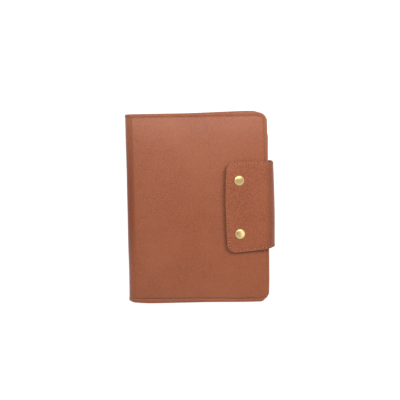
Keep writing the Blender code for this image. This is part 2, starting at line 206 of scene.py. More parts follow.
def report(piece):
    points = [vert.co for vert in piece.data.vertices]
    low = [round(min(point[axis] for point in points) / MM, 1) for axis in (X, Y, Z)]
    high = [round(max(point[axis] for point in points) / MM, 1) for axis in (X, Y, Z)]
    print(piece.name, len(piece.data.polygons), "faces", low, high)


print("piece helpers ready")

# %% [markdown]
# A finish is a small node tree. The `Wire` class lets its sums be written as Python: each operator
# adds one Math node. Every other node comes from `Finish.node`, which sets a node's own settings
# first and then its sockets. A tree could be wired by hand, but sums are easier to read.


# %% Helpers for finishes
class Wire:
    """An output socket that can be added, multiplied and compared."""

    def __init__(self, owner, socket):
        self.owner = owner
        self.socket = socket

    def maths(self, operation, *values):
        return self.owner.node("ShaderNodeMath", {"operation": operation}, dict(enumerate(values)))

    def __add__(self, other):
        return self.maths("ADD", self, other)

    def __sub__(self, other):
        return self.maths("SUBTRACT", self, other)

    def __rsub__(self, other):
        return self.maths("SUBTRACT", other, self)

    def __mul__(self, other):
        return self.maths("MULTIPLY", self, other)

    def __abs__(self):
        return self.maths("ABSOLUTE", self)

    __radd__ = __add__
    __rmul__ = __mul__

    def larger(self, other):
        return self.maths("MAXIMUM", self, other)

    def sine(self):
        return self.maths("SINE", self)

    def between(self, low, high):
        """0 below low, 1 above high and smooth in between."""
        settings = {"interpolation_type": "SMOOTHSTEP"}
        sockets = {"Value": self, "From Min": low, "From Max": high}
        return self.owner.node("ShaderNodeMapRange", settings, sockets)


class Finish:
    """A material whose nodes are added one call at a time."""

    def __init__(self, name):
        self.material = bpy.data.materials.new(name)
        self.material.use_nodes = True
        self.tree = self.material.node_tree
        self.shader = self.tree.nodes["Principled BSDF"]

    def node(self, kind, settings=None, sockets=None, output=0):
        made = self.tree.nodes.new(kind)
        for name, value in (settings or {}).items():
            setattr(made, name, value)
        for name, value in (sockets or {}).items():
            self.link(made.inputs[name], value)
        return Wire(self, made.outputs[output])

    def link(self, socket, value):
        if isinstance(value, Wire):
            self.tree.links.new(value.socket, socket)
        else:
            socket.default_value = value

    def place(self):
        return self.node("ShaderNodeTexCoord", output="Object")

    def axes(self, place):
        return [self.node("ShaderNodeSeparateXYZ", None, {0: place}, axis) for axis in (X, Y, Z)]

    def stretched(self, place, scale, turn=0.0):
        rotation = (0, 0, math.radians(turn))
        sockets = {"Vector": place, "Scale": scale, "Rotation": rotation}
        return self.node("ShaderNodeMapping", None, sockets)

    def noise(self, place, scale, detail=2.0, rough=0.5):
        sockets = {"Vector": place, "Scale": scale, "Detail": detail, "Roughness": rough}
        return self.node("ShaderNodeTexNoise", None, sockets)

    def vectors(self, operation, sockets):
        return self.node("ShaderNodeVectorMath", {"operation": operation}, sockets)

    def warped(self, place, scale, amount):
        """Places pushed about by noise, so that a pattern isn't regular."""
        push = self.node("ShaderNodeTexNoise", None, {"Vector": place, "Scale": scale}, "Color")
        centred = self.vectors("SUBTRACT", {0: push, 1: (0.5, 0.5, 0.5)})
        scaled = self.vectors("SCALE", {0: centred, "Scale": amount})
        return self.vectors("ADD", {0: place, 1: scaled})

    def mixed(self, factor, first, second):
        """A colour between two, by a factor."""
        sockets = {0: factor, 6: first, 7: second}
        return self.node("ShaderNodeMix", {"data_type": "RGBA"}, sockets, 2)

    def surface(self, colour, roughness, height=None, depth=0.0, strength=1.0, **others):
        """Feeds the shader. The other words name more of its sockets."""
        self.link(self.shader.inputs["Base Color"], colour)
        self.link(self.shader.inputs["Roughness"], roughness)
        if height is not None:
            sockets = {"Height": height, "Distance": depth, "Strength": strength}
            bump = self.node("ShaderNodeBump", None, sockets)
            self.link(self.shader.inputs["Normal"], bump)
        for name, value in others.items():
            self.link(self.shader.inputs[name.replace("_", " ")], value)
        return self.material


def streaked(name, stretch, turn, scale, detail, patch_scale, patch_detail=2.0):
    """Starts a finish with two noises: stretched streaks and round patches."""
    made = Finish(name)
    place = made.place()
    streaks = made.noise(made.stretched(place, stretch, turn), scale, detail)
    return made, streaks, made.noise(place, patch_scale, patch_detail)


def shade(red, green, blue):
    return (red, green, blue, 1.0)


print("finish helpers ready")

# %% [markdown]
# The hide is a tan leather with a fine pebbled grain. Rounded pebbles come from the distance to the
# edges of Voronoi cells, pushed about by noise, because real grain has cells and plain noise has
# none. Creases are darker, tops a little paler, and wide soft clouds keep a large panel from looking
# printed. The round of the spine is painted darker, most of all near its middle: painted shade where
# it turns away from the light.

# %% Leather
SPINE_FADE = (-83.5 * MM, -76.5 * MM)
SPINE_SHADE_Y = 8 * MM
SPINE_SHADE_FADE = (15 * MM, 100 * MM)
FOLD_START = 8 * MM
FOLD_END = 2 * MM
GRAIN_DEPTH = 0.28 * MM


def leather(
        name, colour, crease, pale, grain=0.6, pebble=500, roughness=0.38, coat=0.5, fold=None,
        spine_shade=None):
    """A grained leather. A fold is a band along X, given by its two ends, a colour and a share; on
    the strap it is painted shade at its bend. A spine shade is painted shade on the round of the
    spine, which also gets less coat there."""
    made = Finish(name)
    place = made.place()
    bent = made.warped(place, 260, 2.2 * MM)
    settings = {"feature": "DISTANCE_TO_EDGE"}
    cells = made.node("ShaderNodeTexVoronoi", settings, {"Vector": bent, "Scale": pebble})
    tops = cells.between(0.0, 0.32)
    pores = made.noise(place, 2600, 2.0)
    folds = made.noise(made.stretched(bent, (1.0, 1.6, 1.0), 24), 330, 3.0, 0.6)
    clouds = made.noise(place, 26, 3.0, 0.55)
    height = tops * 0.55 + folds * 0.75 + pores * 0.08
    tone = made.mixed(tops * 0.7 + folds.between(0.3, 0.75) * 0.3, crease, colour)
    tone = made.mixed(clouds.between(0.35, 0.75) * 0.5, tone, pale)
    # A band of colour along X. On the strap it is painted shade at the bend; on the pressed line it
    # paints the line lighter towards the fore edge.
    if fold:
        start, end, band_tone, share = fold
        along = made.axes(place)[X]
        band = along.between(start, start + FOLD_START) * (1 - along.between(end - FOLD_END, end))
        tone = made.mixed(band * share, tone, band_tone)
    # Painted shade: the round of the spine is darker near its middle, and has less coat there.
    if spine_shade:
        along, upwards = made.axes(place)[:Z]
        shaded_round = (1 - along.between(*SPINE_FADE)) * (1 - abs(upwards - SPINE_SHADE_Y).between(*SPINE_SHADE_FADE))
        tone = made.mixed(shaded_round, tone, spine_shade)
        coat = coat * (1 - 0.6 * shaded_round)
    gloss = roughness + 0.12 * (1 - tops) + 0.1 * (clouds - 0.5)
    return made.surface(
        tone, gloss, height, GRAIN_DEPTH, grain,
        Specular_IOR_Level=0.22, Coat_Weight=coat, Coat_Roughness=0.28)


print("leather ready")

# %% [markdown]
# One hide gives several leathers: the tan face, the redder strap with painted shade along its bend,
# the pale rough flesh side, the thinner leather of the sleeves, and the dark floor of pressed lines
# and needle holes, which is partly burnish and partly painted shade of the groove and the holes. They
# differ only in tones and in the size of the grain.

# %% Leathers of the cover
# The tan face has painted shade on the round of the spine.
tan_leather = leather(
    "tan_leather", shade(0.408, 0.122, 0.0515), shade(0.281, 0.078, 0.0325),
    shade(0.391, 0.1215, 0.0535), spine_shade=shade(0.262, 0.064, 0.0238))
# The strap's band is painted shade along its bend.
strap_leather = leather(
    "strap_leather", shade(0.464, 0.132, 0.0545), shade(0.226, 0.059, 0.0234),
    shade(0.388, 0.1135, 0.0485), grain=0.9, pebble=560,
    fold=(76 * MM, 88.5 * MM, shade(0.16, 0.045, 0.02), 0.5))
flesh_leather = leather(
    "flesh_side_leather", shade(0.36, 0.17, 0.09), shade(0.30, 0.13, 0.065),
    shade(0.40, 0.20, 0.11), grain=0.7, pebble=1400, roughness=0.8, coat=0.0)
sleeve_leather = leather(
    "sleeve_leather", shade(0.36, 0.118, 0.055), shade(0.29, 0.085, 0.038),
    shade(0.40, 0.14, 0.07), pebble=800, roughness=0.55, coat=0.2)
# The pressed line's dark floor is partly burnish and partly painted shade of the groove; its band
# paints it lighter towards the fore edge.
line_leather = leather(
    "pressed_line_leather", shade(0.21, 0.070, 0.034), shade(0.15, 0.051, 0.025),
    shade(0.23, 0.078, 0.038), grain=0.5, pebble=800, roughness=0.6, coat=0.1,
    fold=(68 * MM, 500 * MM, shade(0.32, 0.1, 0.044), 0.7))
# The needle holes are not cut: this dark leather on the strap's pressed line is painted shade of the
# holes.
hole_leather = leather(
    "needle_hole_leather", shade(0.14, 0.046, 0.022), shade(0.09, 0.031, 0.016),
    shade(0.16, 0.053, 0.025), grain=0.5, pebble=800, roughness=0.6, coat=0.1)
print("six leathers ready")

# %% [markdown]
# Cut edges of the strap are sealed with a glossy orange-brown paint that shows brush ripples along
# the edge. Noise that is stretched along the edge makes the ripples.


# %% Edge paint
def edge_paint():
    made, ripples, patches = streaked("edge_paint", (1.0, 1.0, 3.0), 0.0, 420, 2.0, 70)
    tone = made.mixed(patches.between(0.3, 0.7), shade(0.33, 0.085, 0.03), shade(0.42, 0.12, 0.045))
    return made.surface(tone, 0.36 + 0.15 * patches, ripples, 0.2 * MM, 0.5)


painted_edge = edge_paint()
print("edge paint ready")

# %% [markdown]
# Leather pieces start as flat rectangles, as the leather does. Corners are bevelled round, edges are
# spun round a bend along Y and run on past it, and a Solidify gives the thickness. Slot numbers tell
# outer, inner and rim faces apart, so that a later step can find them.

# %% Helpers for shaping a sheet
OUTER, INNER, RIM, LINE = 0, 1, 2, 3


def round_corners(piece, chosen, radius, segments, profile=0.5):
    pick(piece, "VERT", chosen)
    bpy.ops.mesh.bevel(
        offset=radius, segments=segments, affect="VERTICES", clamp_overlap=False, profile=profile)


def spin_edge(piece, chosen, centre, angle, steps):
    """Sweeps an edge round an axis along Y."""
    pick(piece, "EDGE", chosen)
    bpy.ops.mesh.spin(steps=steps, angle=angle, center=centre, axis=(0, 1, 0))


def run_on(piece, chosen, move):
    pick(piece, "EDGE", chosen)
    bpy.ops.mesh.extrude_region_move(TRANSFORM_OT_translate={"value": move})


def shift(piece, kind, chosen, move):
    pick(piece, kind, chosen)
    bpy.ops.transform.translate(value=move)


def merge_all():
    bpy.ops.mesh.select_all(action="SELECT")
    bpy.ops.mesh.remove_doubles(threshold=MM / 1000)


def face_along(piece, chosen, direction):
    """Turns all faces so that the chosen one looks along a direction."""
    merge_all()
    bpy.ops.mesh.normals_make_consistent(inside=False)
    shape = bmesh.from_edit_mesh(piece.data)
    probe = next(face for face in shape.faces if chosen(face))
    if probe.normal.dot(Vector(direction)) < 0:
        bpy.ops.mesh.flip_normals()


def thicken(piece, thickness):
    """Gives a sheet its thickness inwards, and its inner and rim faces their own slots."""
    apply_modifier(
        piece, "SOLIDIFY", thickness=thickness, offset=-1, use_even_offset=True,
        material_offset=INNER, material_offset_rim=RIM)


def roll_edges(radius, segments):
    """Rounds every sharp edge and gives the new faces the rim's slot."""
    bpy.ops.mesh.select_mode(type="EDGE")
    bpy.ops.mesh.select_all(action="DESELECT")
    bpy.ops.mesh.edges_select_sharp(sharpness=math.radians(60))
    bpy.ops.mesh.bevel(
        offset=radius, segments=segments, affect="EDGES", clamp_overlap=False, material=RIM)


def cut_off(point, keep):
    """Keeps the side of a plane that keep points to, and closes the cut."""
    bpy.ops.mesh.select_mode(type="FACE")
    bpy.ops.mesh.select_all(action="SELECT")
    bpy.ops.mesh.bisect(plane_co=point, plane_no=keep, use_fill=True, clear_inner=True)


def score(axis, places):
    """Cuts edges across a piece, so that it can move softly."""
    bpy.ops.mesh.select_mode(type="FACE")
    across = [1 if index == axis else 0 for index in (X, Y, Z)]
    for where in places:
        bpy.ops.mesh.select_all(action="SELECT")
        bpy.ops.mesh.bisect(plane_co=[where * side for side in across], plane_no=across)


def spread(low, high, step):
    """Evenly spaced places between two ends, about a step apart."""
    count = max(2, round((high - low) / step))
    return [low + (high - low) * index / count for index in range(1, count)]


print("shaping helpers ready")

# %% [markdown]
# A seam in leather lies in a line that was pressed first. Insets of the outer faces make it: a few go
# down to the line, two cross it and a few climb out again. The middle of the line is kept as a loop
# of points, for the stitches. A Displace modifier then gives the panel inside the seam slow waves.


# %% Helpers for seams and panels
def slot_is(number):
    return lambda face: face.material_index == number


def keep_selected(piece, wanted):
    """Deselects the selected faces that a test refuses."""
    shape = bmesh.from_edit_mesh(piece.data)
    for face in [face for face in shape.faces if face.select]:
        face.select = wanted(face)
    shape.select_flush_mode()
    bmesh.update_edit_mesh(piece.data)


def press(steps):
    """Insets the selected faces step by step: (width, rise) in millimetres."""
    for width, rise in steps:
        bpy.ops.mesh.inset(
            thickness=width * MM, depth=rise * MM, use_boundary=True, use_even_offset=True)


def paint(piece, number):
    """Gives the selected faces a slot."""
    shape = bmesh.from_edit_mesh(piece.data)
    for face in shape.faces:
        if face.select:
            face.material_index = number
    bmesh.update_edit_mesh(piece.data)


def border_loop(piece):
    """The points and normals round the selected faces, in order."""
    shape = bmesh.from_edit_mesh(piece.data)
    shape.normal_update()
    beside = {}
    for edge in shape.edges:
        if sum(face.select for face in edge.link_faces) == 1:
            first, second = edge.verts
            beside.setdefault(first, []).append(second)
            beside.setdefault(second, []).append(first)
    start = min(beside, key=lambda vert: tuple(round(value, 6) for value in vert.co))
    loop = [start, beside[start][0]]
    while loop[-1] is not start:
        before, here = loop[-2:]
        loop.append(next(vert for vert in beside[here] if vert is not before))
    return [(vert.co.copy(), vert.normal.copy()) for vert in loop]


def press_seam(piece, shoulder, line, climb):
    """Presses the dark line for stitches into the selected faces. Returns the line's loop."""
    press(shoulder)
    paint(piece, LINE)
    press([(line / 2, 0.0)])
    loop = border_loop(piece)
    press([(line / 2, 0.0)])
    paint(piece, OUTER)
    press(climb)
    return loop


def soft_waves(piece, number, size, strength):
    """Gives the faces of one slot slow waves, as padded leather has."""
    inside = set()
    border = set()
    for face in piece.data.polygons:
        (inside if face.material_index == number else border).update(face.vertices)
    group = piece.vertex_groups.new(name="panel")
    group.add(sorted(inside - border), 1.0, "REPLACE")
    clouds = bpy.data.textures.new(piece.name + "_waves", "CLOUDS")
    clouds.noise_scale = size
    clouds.noise_depth = 1
    apply_modifier(
        piece, "DISPLACE", texture=clouds, texture_coords="LOCAL", strength=strength, mid_level=0.5,
        vertex_group=group.name)
    piece.vertex_groups.clear()


print("seam helpers ready")

# %% [markdown]
# The front hide is the panel, its turned rim and half of the spine in one piece. A cloth simulation
# could pad it, but its remesh would erase the thin pressed lines, so insets raise the panel and a
# hollow at the back takes foam and board. The sheet starts a little way round the spine's bend, so
# that the border between strip and panel lies on an edge of the mesh.

# %% Front hide
RIM_DROP = 0.7 * MM
RIM_ROLL = 1.7 * MM
RIM_WIDTH = 3.6 * MM
HIDE_THICK = 1.3 * MM
TAIL_CORNER = 10.2 * MM
SPINE_SPARE = 14 * MM
SPINE_TURNS = 14
STRIP_TURN = math.radians(11.25)
SPIN_RADIUS = 9.4 * MM
SPIN_X = LEFT - 0.05 * MM + SPIN_RADIUS
SPIN_Z = TOP - RIM_DROP - SPIN_RADIUS
STRIP_X = SPIN_X - SPIN_RADIUS * math.sin(STRIP_TURN)
STRIP_FALL = SPIN_RADIUS * (1 - math.cos(STRIP_TURN))
COVER_LINE = 0.3
RIM_STEPS = [(0.4, 0.0), (0.5, -0.08), (0.5, -0.16), (0.2, -0.14)]
STRIP_STEPS = [(0.2, 0.1)]
PANEL_STEPS = [(0.35, 0.45), (0.45, 0.34), (0.8, 0.17), (1.3, 0.05)]
HIDE_SCORE = 5 * MM


def half_hide(name):
    """The front panel and its half of the spine. Also returns the loop of its pressed line."""
    piece = flat_sheet(name, STRIP_X, RIGHT, -HEAD, HEAD, TOP - RIM_DROP)
    take_slots(piece, tan_leather, flesh_leather, tan_leather, line_leather)
    edit(piece)
    at_strip = below(X, STRIP_X + HAIR)
    at_fore_edge = above(X, RIGHT - MM)
    shift(piece, "EDGE", at_strip, (0, 0, -STRIP_FALL))
    round_corners(piece, both(at_fore_edge, above(Y, 0)), CORNER, 9)
    round_corners(piece, both(at_fore_edge, below(Y, MM - HEAD)), TAIL_CORNER, 9, 0.4)
    spin_edge(piece, at_strip, (SPIN_X, 0, SPIN_Z), math.pi / 2 - STRIP_TURN, SPINE_TURNS)
    run_on(piece, below(Z, SPIN_Z + HAIR), (0, 0, MIDDLE - SPINE_SPARE - SPIN_Z))
    face_along(piece, above(X, 0), (0, 0, 1))
    finish_edit()
    thicken(piece, COVER_DEPTH - RIM_DROP)
    edit(piece)
    roll_edges(RIM_ROLL, 5)
    pick(piece, "FACE", slot_is(OUTER))
    loop = press_seam(piece, RIM_STEPS, COVER_LINE, STRIP_STEPS)
    keep_selected(piece, above(X, STRIP_X))
    press(PANEL_STEPS)
    pick(piece, "FACE", slot_is(INNER))
    press([((RIM_WIDTH - RIM_ROLL) / MM, 0.0)])
    bpy.ops.mesh.extrude_region_shrink_fatten(
        TRANSFORM_OT_shrink_fatten={"value": HIDE_THICK - COVER_DEPTH})
    cut_off((0, 0, MIDDLE), (0, 0, 1))
    score(X, spread(SPIN_X, RIGHT - CORNER, HIDE_SCORE))
    score(Y, spread(CORNER - HEAD, HEAD - CORNER, HIDE_SCORE))
    finish_edit()
    return piece, loop


front_hide, cover_loop = half_hide("front_hide")
soft_waves(front_hide, OUTER, 30 * MM, 0.22 * MM)
smooth(front_hide)
report(front_hide)

# %% [markdown]
# No real cover is exact. The spine's tail end draws in where the hide was turned under, the front's
# tail edge drops, and the back cover slides out a little at the head and the fore edge. Sculpting
# could do this by hand. Here smooth ramps and humps of a point's place move it, so that stitches,
# linings and sleeves follow the hide by the same rule. Amounts are in millimetres.

# %% Helpers for settling
TO_END = (50 * MM, HEAD)
SPINE_REACH = 9 * MM
SPINE_FLARE = 0.3
CURL = 2.3
CURL_REACH = 5.8 * MM
SWEEP = 0.45
SEAM_IN = 3.4 * MM
SEAM_REACH = 20 * MM
SEAM_HALF = 0.9 * MM
TAIL_SINK = 0.3 * MM
CORNER_RISE = (-17.5 * MM, -4 * MM)
CORNER_SLIDE = (-31 * MM, -16 * MM)
MOST_RISE = 2.05


def ramp(value, low, high):
    """0 below low, 1 above high and smooth in between."""
    share = min(1.0, max(0.0, (value - low) / (high - low)))
    return share * share * (3 - 2 * share)


def hump(value, centre, width):
    """1 at a centre, and less and less on both sides of it."""
    return math.exp(-((value - centre) / width) ** 2)


def settle_spine(piece):
    """Draws the spine's tail end in, and flares the turned ends of the spine a little."""
    for vert in piece.data.vertices:
        x, y, z = vert.co
        near_spine = math.exp((LEFT - x) / SPINE_REACH)
        from_edge = max(0.0, x - LEFT)
        curl = CURL * math.exp(-from_edge / CURL_REACH) + SWEEP * hump(from_edge, 12 * MM, 10 * MM)
        bow = 0.25 * ramp(-y, 45 * MM, 70 * MM) - 0.3 * hump(y, 80 * MM, 25 * MM)
        head = ramp(y, *TO_END)
        end = ramp(abs(y), HEAD - 5 * MM, HEAD - 3 * MM)
        vert.co.x += (bow - SPINE_FLARE * head - SPINE_FLARE * end) * near_spine * MM
        vert.co.y += curl * ramp(-y, *TO_END) * MM


def settle_front(piece):
    """Lets the tail edge of the front drop a little, and draws its fore-edge corners in."""
    settle_spine(piece)
    for vert in piece.data.vertices:
        x, y, z = vert.co
        tail = ramp(-y, *TO_END)
        head = ramp(y, *TO_END)
        out = ramp(x, 0, RIGHT)
        inside = HEAD + y
        pull = (2.2 - 1.7 * ramp(x, LEFT, RIGHT)) * ramp(inside, 0, SEAM_IN)
        pull *= math.exp(-max(0, inside - SEAM_IN) / SEAM_REACH)
        drop = 0.75 * ramp(x, 0, 60 * MM)
        upper = ramp(z, MIDDLE, MIDDLE + 7 * MM)
        vert.co.x -= (0.4 * tail + 0.5 * ramp(-y, 85 * MM, 104 * MM)) * out * MM
        vert.co.y += (pull - drop * tail - (0.3 + 0.25 * out) * head) * upper * MM
        if z > BEND_Z:
            vert.co.z -= TAIL_SINK * hump(inside, SEAM_IN, SEAM_HALF)


def settle_back(piece):
    """Slides a back piece out towards the head and the fore edge, but not at the corner between."""
    settle_spine(piece)
    for vert in piece.data.vertices:
        x, y, z = vert.co
        at_corner = ramp(y, 0, 60 * MM) * ramp(x - RIGHT, *CORNER_RISE)
        rise = min(MOST_RISE, max(0.0, 0.85 + 25 * x)) * (1 - at_corner)
        slide = (1.3 + 16 * y) * ramp(x, BEND_X, RIGHT) * (1 - ramp(y - HEAD, *CORNER_SLIDE))
        vert.co.x += slide * MM
        vert.co.y += rise * MM


print("settling helpers ready")

# %% [markdown]
# The front panel is padded. It rises towards its middle, and the studs hold it down where they are
# riveted. Towards the tail the spine's strip comes up to the panel, so the border between fades.

# %% Padding of the front
stud_low, stud_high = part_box("upper_snap_stud")
STUD_X = (stud_low.x + stud_high.x) / 2
STUD_Y = (stud_low.y + stud_high.y) / 2
STUD_DIMPLE = 9 * MM
STRIP_DROP = 0.28 * MM
STRIP_RISE = 0.55 * MM
STRIP_END = 4.2 * MM
PANEL_SWELL = 1.1 * MM
PANEL_MARGIN = 4 * MM
SWELL_REACH = 13 * MM


def swell(piece):
    """Lets the padded panel of the front rise from its border, but not where the studs hold it."""
    outer_faces = [face for face in piece.data.polygons if face.material_index == OUTER]
    for index in {index for face in outer_faces for index in face.vertices}:
        point = piece.data.vertices[index].co
        rise = PANEL_SWELL
        for room in (point.x - STRIP_X, RIGHT - point.x, HEAD - point.y, HEAD + point.y):
            rise *= 1 - math.exp(-max(0.0, room - PANEL_MARGIN) / SWELL_REACH)
        for stud_y in (-STUD_Y, STUD_Y):
            away = math.hypot(point.x - STUD_X, point.y - stud_y)
            rise *= 1 - hump(away, 0, STUD_DIMPLE)
        point.z += rise


def raise_strip(piece):
    """Brings the spine's strip up to the panel towards the tail."""
    for vert in piece.data.vertices:
        x, y, z = vert.co
        away = math.hypot(x - SPIN_X, z - SPIN_Z)
        on_strip = x < STRIP_X + HAIR / 2 and abs(away - SPIN_RADIUS + STRIP_DROP) < 2 * HAIR
        if on_strip and z > SPIN_Z and abs(y) < HEAD - STRIP_END:
            vert.co.z += STRIP_RISE * ramp(-y, -70 * MM, 60 * MM) * (z - SPIN_Z) / away


print("padding helpers ready")

# %% [markdown]
# The back is the same half hide turned over, so it is copied and mirrored, and its faces are turned
# outwards again. It is copied before the front is padded, because it lies on its face. Its fore edge
# has a slot where the strap's tab is sewn in: a box cuts it.

# %% Back hide
STRAP_THICK = 2.35 * MM
SLOT_ROOM = 0.3 * MM
SLOT_DEPTH = 3.7 * MM
CORNER_SCORE = 1.5 * MM
root_low, root_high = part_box("strap_root_leather")
STRAP_FOOT = root_low.z


def turned_copy(piece, name):
    """A copy of a piece, mirrored to the other cover and faced outwards again."""
    made = copy_of(piece, name)
    edit(made)
    bpy.ops.mesh.select_all(action="SELECT")
    bpy.ops.transform.resize(value=(1, 1, -1), center_override=(0, 0, MIDDLE))
    bpy.ops.mesh.flip_normals()
    finish_edit()
    return made


def cut_box(piece, low, high):
    """Cuts a box out of a piece."""
    deselect()
    low = Vector(low)
    high = Vector(high)
    bpy.ops.mesh.primitive_cube_add(size=1, location=(low + high) / 2, scale=high - low)
    cutter = bpy.context.active_object
    apply_modifier(piece, "BOOLEAN", object=cutter, operation="DIFFERENCE", solver="EXACT")
    bpy.data.objects.remove(cutter)


back_hide = turned_copy(front_hide, "back_hide")
edit(back_hide)
score(X, [RIGHT + place for place in spread(*CORNER_RISE, CORNER_SCORE)])
score(Y, [HEAD + place for place in spread(*CORNER_SLIDE, CORNER_SCORE)])
finish_edit()
swell(front_hide)
raise_strip(front_hide)
settle_front(front_hide)
settle_back(back_hide)
cut_box(
    back_hide, (RIGHT - SLOT_DEPTH, root_low.y - SLOT_ROOM, STRAP_FOOT - SLOT_ROOM),
    (RIGHT + 8 * MM, root_high.y + SLOT_ROOM, STRAP_FOOT + STRAP_THICK + SLOT_ROOM))
smooth(back_hide)
report(back_hide)

# %% [markdown]
# Stitches are real thread. One stitch is a short six-sided rod whose ends get thinner and dip into
# their holes. A bump in the leather could stand for it, but real threads catch the light from every
# side, and a few dozen faces each are cheap.


# %% Thread
def thread_finish(name, colour, dark):
    made, twist, patches = streaked(name, (1.0, 2.5, 1.0), 35, 3800, 1.0, 300, 1.0)
    tone = made.mixed(twist.between(0.3, 0.65) * 0.6 + patches * 0.4, dark, colour)
    return made.surface(tone, 0.62, twist, 0.1 * MM, 0.6)


def one_stitch(name, length, thick):
    deselect()
    bpy.ops.mesh.primitive_cylinder_add(
        vertices=6, radius=thick / 2, depth=length * 0.56, rotation=(0, math.pi / 2, 0))
    piece = placed(name)
    edit(piece)
    for side in (-1, 1):
        end = Vector((side * length * 0.28, 0, 0))
        pick(piece, "FACE", lambda face: face.normal.x * side > 0.9)
        for move, dip, narrow in ((0.13, 0.16, 0.82), (0.09, 0.42, 0.55)):
            step = Vector((side * length * move, 0, -thick * dip))
            end += step
            bpy.ops.mesh.extrude_region_move(TRANSFORM_OT_translate={"value": step})
            bpy.ops.transform.resize(value=(1, narrow, narrow), center_override=end)
    finish_edit()
    smooth(piece, 70)
    return piece


tan_thread = thread_finish("tan_thread", shade(0.52, 0.225, 0.115), shade(0.35, 0.13, 0.062))
brown_thread = thread_finish("brown_thread", shade(0.43, 0.20, 0.112), shade(0.27, 0.11, 0.058))
COVER_PITCH = 2.7 * MM
STRAP_PITCH = 3.45 * MM
cover_stitch = one_stitch("cover_stitch", 1.85 * MM, 0.62 * MM)
strap_stitch = one_stitch("strap_stitch", 2.55 * MM, 0.78 * MM)
print("one stitch has", len(cover_stitch.data.polygons), "faces")

# %% [markdown]
# A seam is one stitch copied along the line that the insets pressed, so thread and groove always
# agree. An Array modifier on a curve could do it too, but copies can each take the slope of the
# leather under them.


# %% Helpers for sewing
def fine(loop, step=0.25 * MM):
    """A loop of points with more points in between."""
    made = []
    for (first, first_up), (second, second_up) in zip(loop, loop[1:]):
        count = max(1, round((second - first).length / step))
        for index in range(count):
            share = index / count
            up = first_up.lerp(second_up, share).normalized()
            made.append((first.lerp(second, share), up))
    return made


def open_run(loop, keep):
    """The part of a closed loop that a test keeps, as one run."""
    points = fine(loop)
    start = next(index for index, (point, up) in enumerate(points) if not keep(point))
    turned = points[start:] + points[:start]
    return [(point, up) for point, up in turned if keep(point)]


def evenly(run, pitch):
    """Places along a run, a stitch apart: point, direction and normal."""
    lengths = [0.0]
    for first, second in zip(run, run[1:]):
        lengths.append(lengths[-1] + (second[0] - first[0]).length)
    count = round(lengths[-1] / pitch)
    index = 0
    for step in range(count):
        target = (step + 0.5) * lengths[-1] / count
        while lengths[index + 1] < target:
            index += 1
        first, up = run[index]
        second = run[index + 1][0]
        yield first.lerp(second, 0.5), (second - first).normalized(), up


def sew(name, run, thread, stitch, pitch, slant=6.0, rise=0.12 * MM):
    """Copies a stitch along a run and joins the copies into one piece."""
    copies = []
    for point, along, up in evenly(run, pitch):
        across = up.cross(along).normalized()
        up = along.cross(across)
        turn = Matrix((along, across, up)).transposed()
        turn = turn @ Matrix.Rotation(math.radians(slant), 3, "Z")
        copy = copy_of(stitch, name)
        copy.data.transform(Matrix.Translation(point + up * rise) @ turn.to_4x4())
        copies.append(copy)
    piece = join(copies, name)
    take_slots(piece, thread)
    print(name, len(copies), "stitches")
    return piece


print("sewing helpers ready")

# %% [markdown]
# One brown seam runs round the front cover and on round the ends of the spine. The back's seam is a
# copy turned over, and both settle with their covers.

# %% Stitches round the cover
cover_run = open_run(cover_loop, lambda point: point.z > MIDDLE + MM)
front_stitches = sew("front_stitches", cover_run, brown_thread, cover_stitch, COVER_PITCH)
back_stitches = turned_copy(front_stitches, "back_stitches")
settle_back(back_stitches)
settle_front(front_stitches)

# %% [markdown]
# The covers' pieces have their transforms baked into their meshes, and the CAD leather is hidden.


def fold_front(piece):
    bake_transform(piece)


def fold_back(piece):
    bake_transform(piece)


for piece in (front_hide, front_stitches):
    fold_front(piece)
for piece in (back_hide, back_stitches):
    fold_back(piece)
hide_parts("front_leather", "spine_leather")
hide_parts("back_leather")

# %% [markdown]
# The strap is two layers of leather sewn together: the outer layer that shows, and a lining. Both are
# drawn flat, spun a quarter turn at a bend and run on past it. The side is a little narrower at the
# tail and stands out more there, and the flap's tip lifts.

# %% Helpers for the strap
STRAP_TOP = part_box("flap_leather")[1].z
STRAP_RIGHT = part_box("strap_side_leather")[1].x
TOP_BEND = 9 * MM
FOOT_BEND = 6.5 * MM
TOP_BEND_X = STRAP_RIGHT - TOP_BEND
TOP_BEND_Z = STRAP_TOP - TOP_BEND
FOOT_BEND_X = STRAP_RIGHT - FOOT_BEND
FOOT_BEND_Z = STRAP_FOOT + FOOT_BEND
SIDE_MIDDLE = (STRAP_TOP - TOP_BEND + STRAP_FOOT + FOOT_BEND) / 2
STRAP_SPARE = 12 * MM
OUTER_LAYER = 1.3 * MM
INNER_LAYER = STRAP_THICK - OUTER_LAYER
LAYER_ROLL = 0.45 * MM
FOLD_HEAD = 53.8 * MM
FOLD_TAIL = -50.8 * MM
FLAP_SHOULDER = [(0.75, 0.0), (0.25, -0.06), (0.2, -0.08)]
FLAP_LINE = 0.6
FLAP_CLIMB = [(0.2, 0.08), (0.4, 0.06), (0.8, 0.04)]
EDGE_LAP = 0.35
TIP_LIFT = 1.8
SIDE_NARROWS = 2.4
SIDE_SHIFTS = 1.7


def lean_side(piece):
    """Narrows the side at the tail, slopes it out towards the foot and lifts the flap's tip."""
    for vert in piece.data.vertices:
        share = ramp(vert.co.x, TOP_BEND_X - 2 * MM, STRAP_RIGHT)
        lower = ramp(STRAP_TOP - vert.co.z, 0, STRAP_TOP - STRAP_FOOT)
        tail = (FOLD_HEAD - vert.co.y) / (FOLD_HEAD - FOLD_TAIL)
        bulge = 0.3 + 0.55 * math.sin(math.pi * min(1.0, max(0.0, tail))) - 0.5 * tail * tail
        vert.co.z += TIP_LIFT * ramp(STUD_X - vert.co.x, 4 * MM, 18 * MM) * MM
        vert.co.y += (share * tail * SIDE_NARROWS + lower * (1 - tail) * SIDE_SHIFTS) * MM
        vert.co.x += share * (tail * 0.85 - 1.0 + bulge) * MM


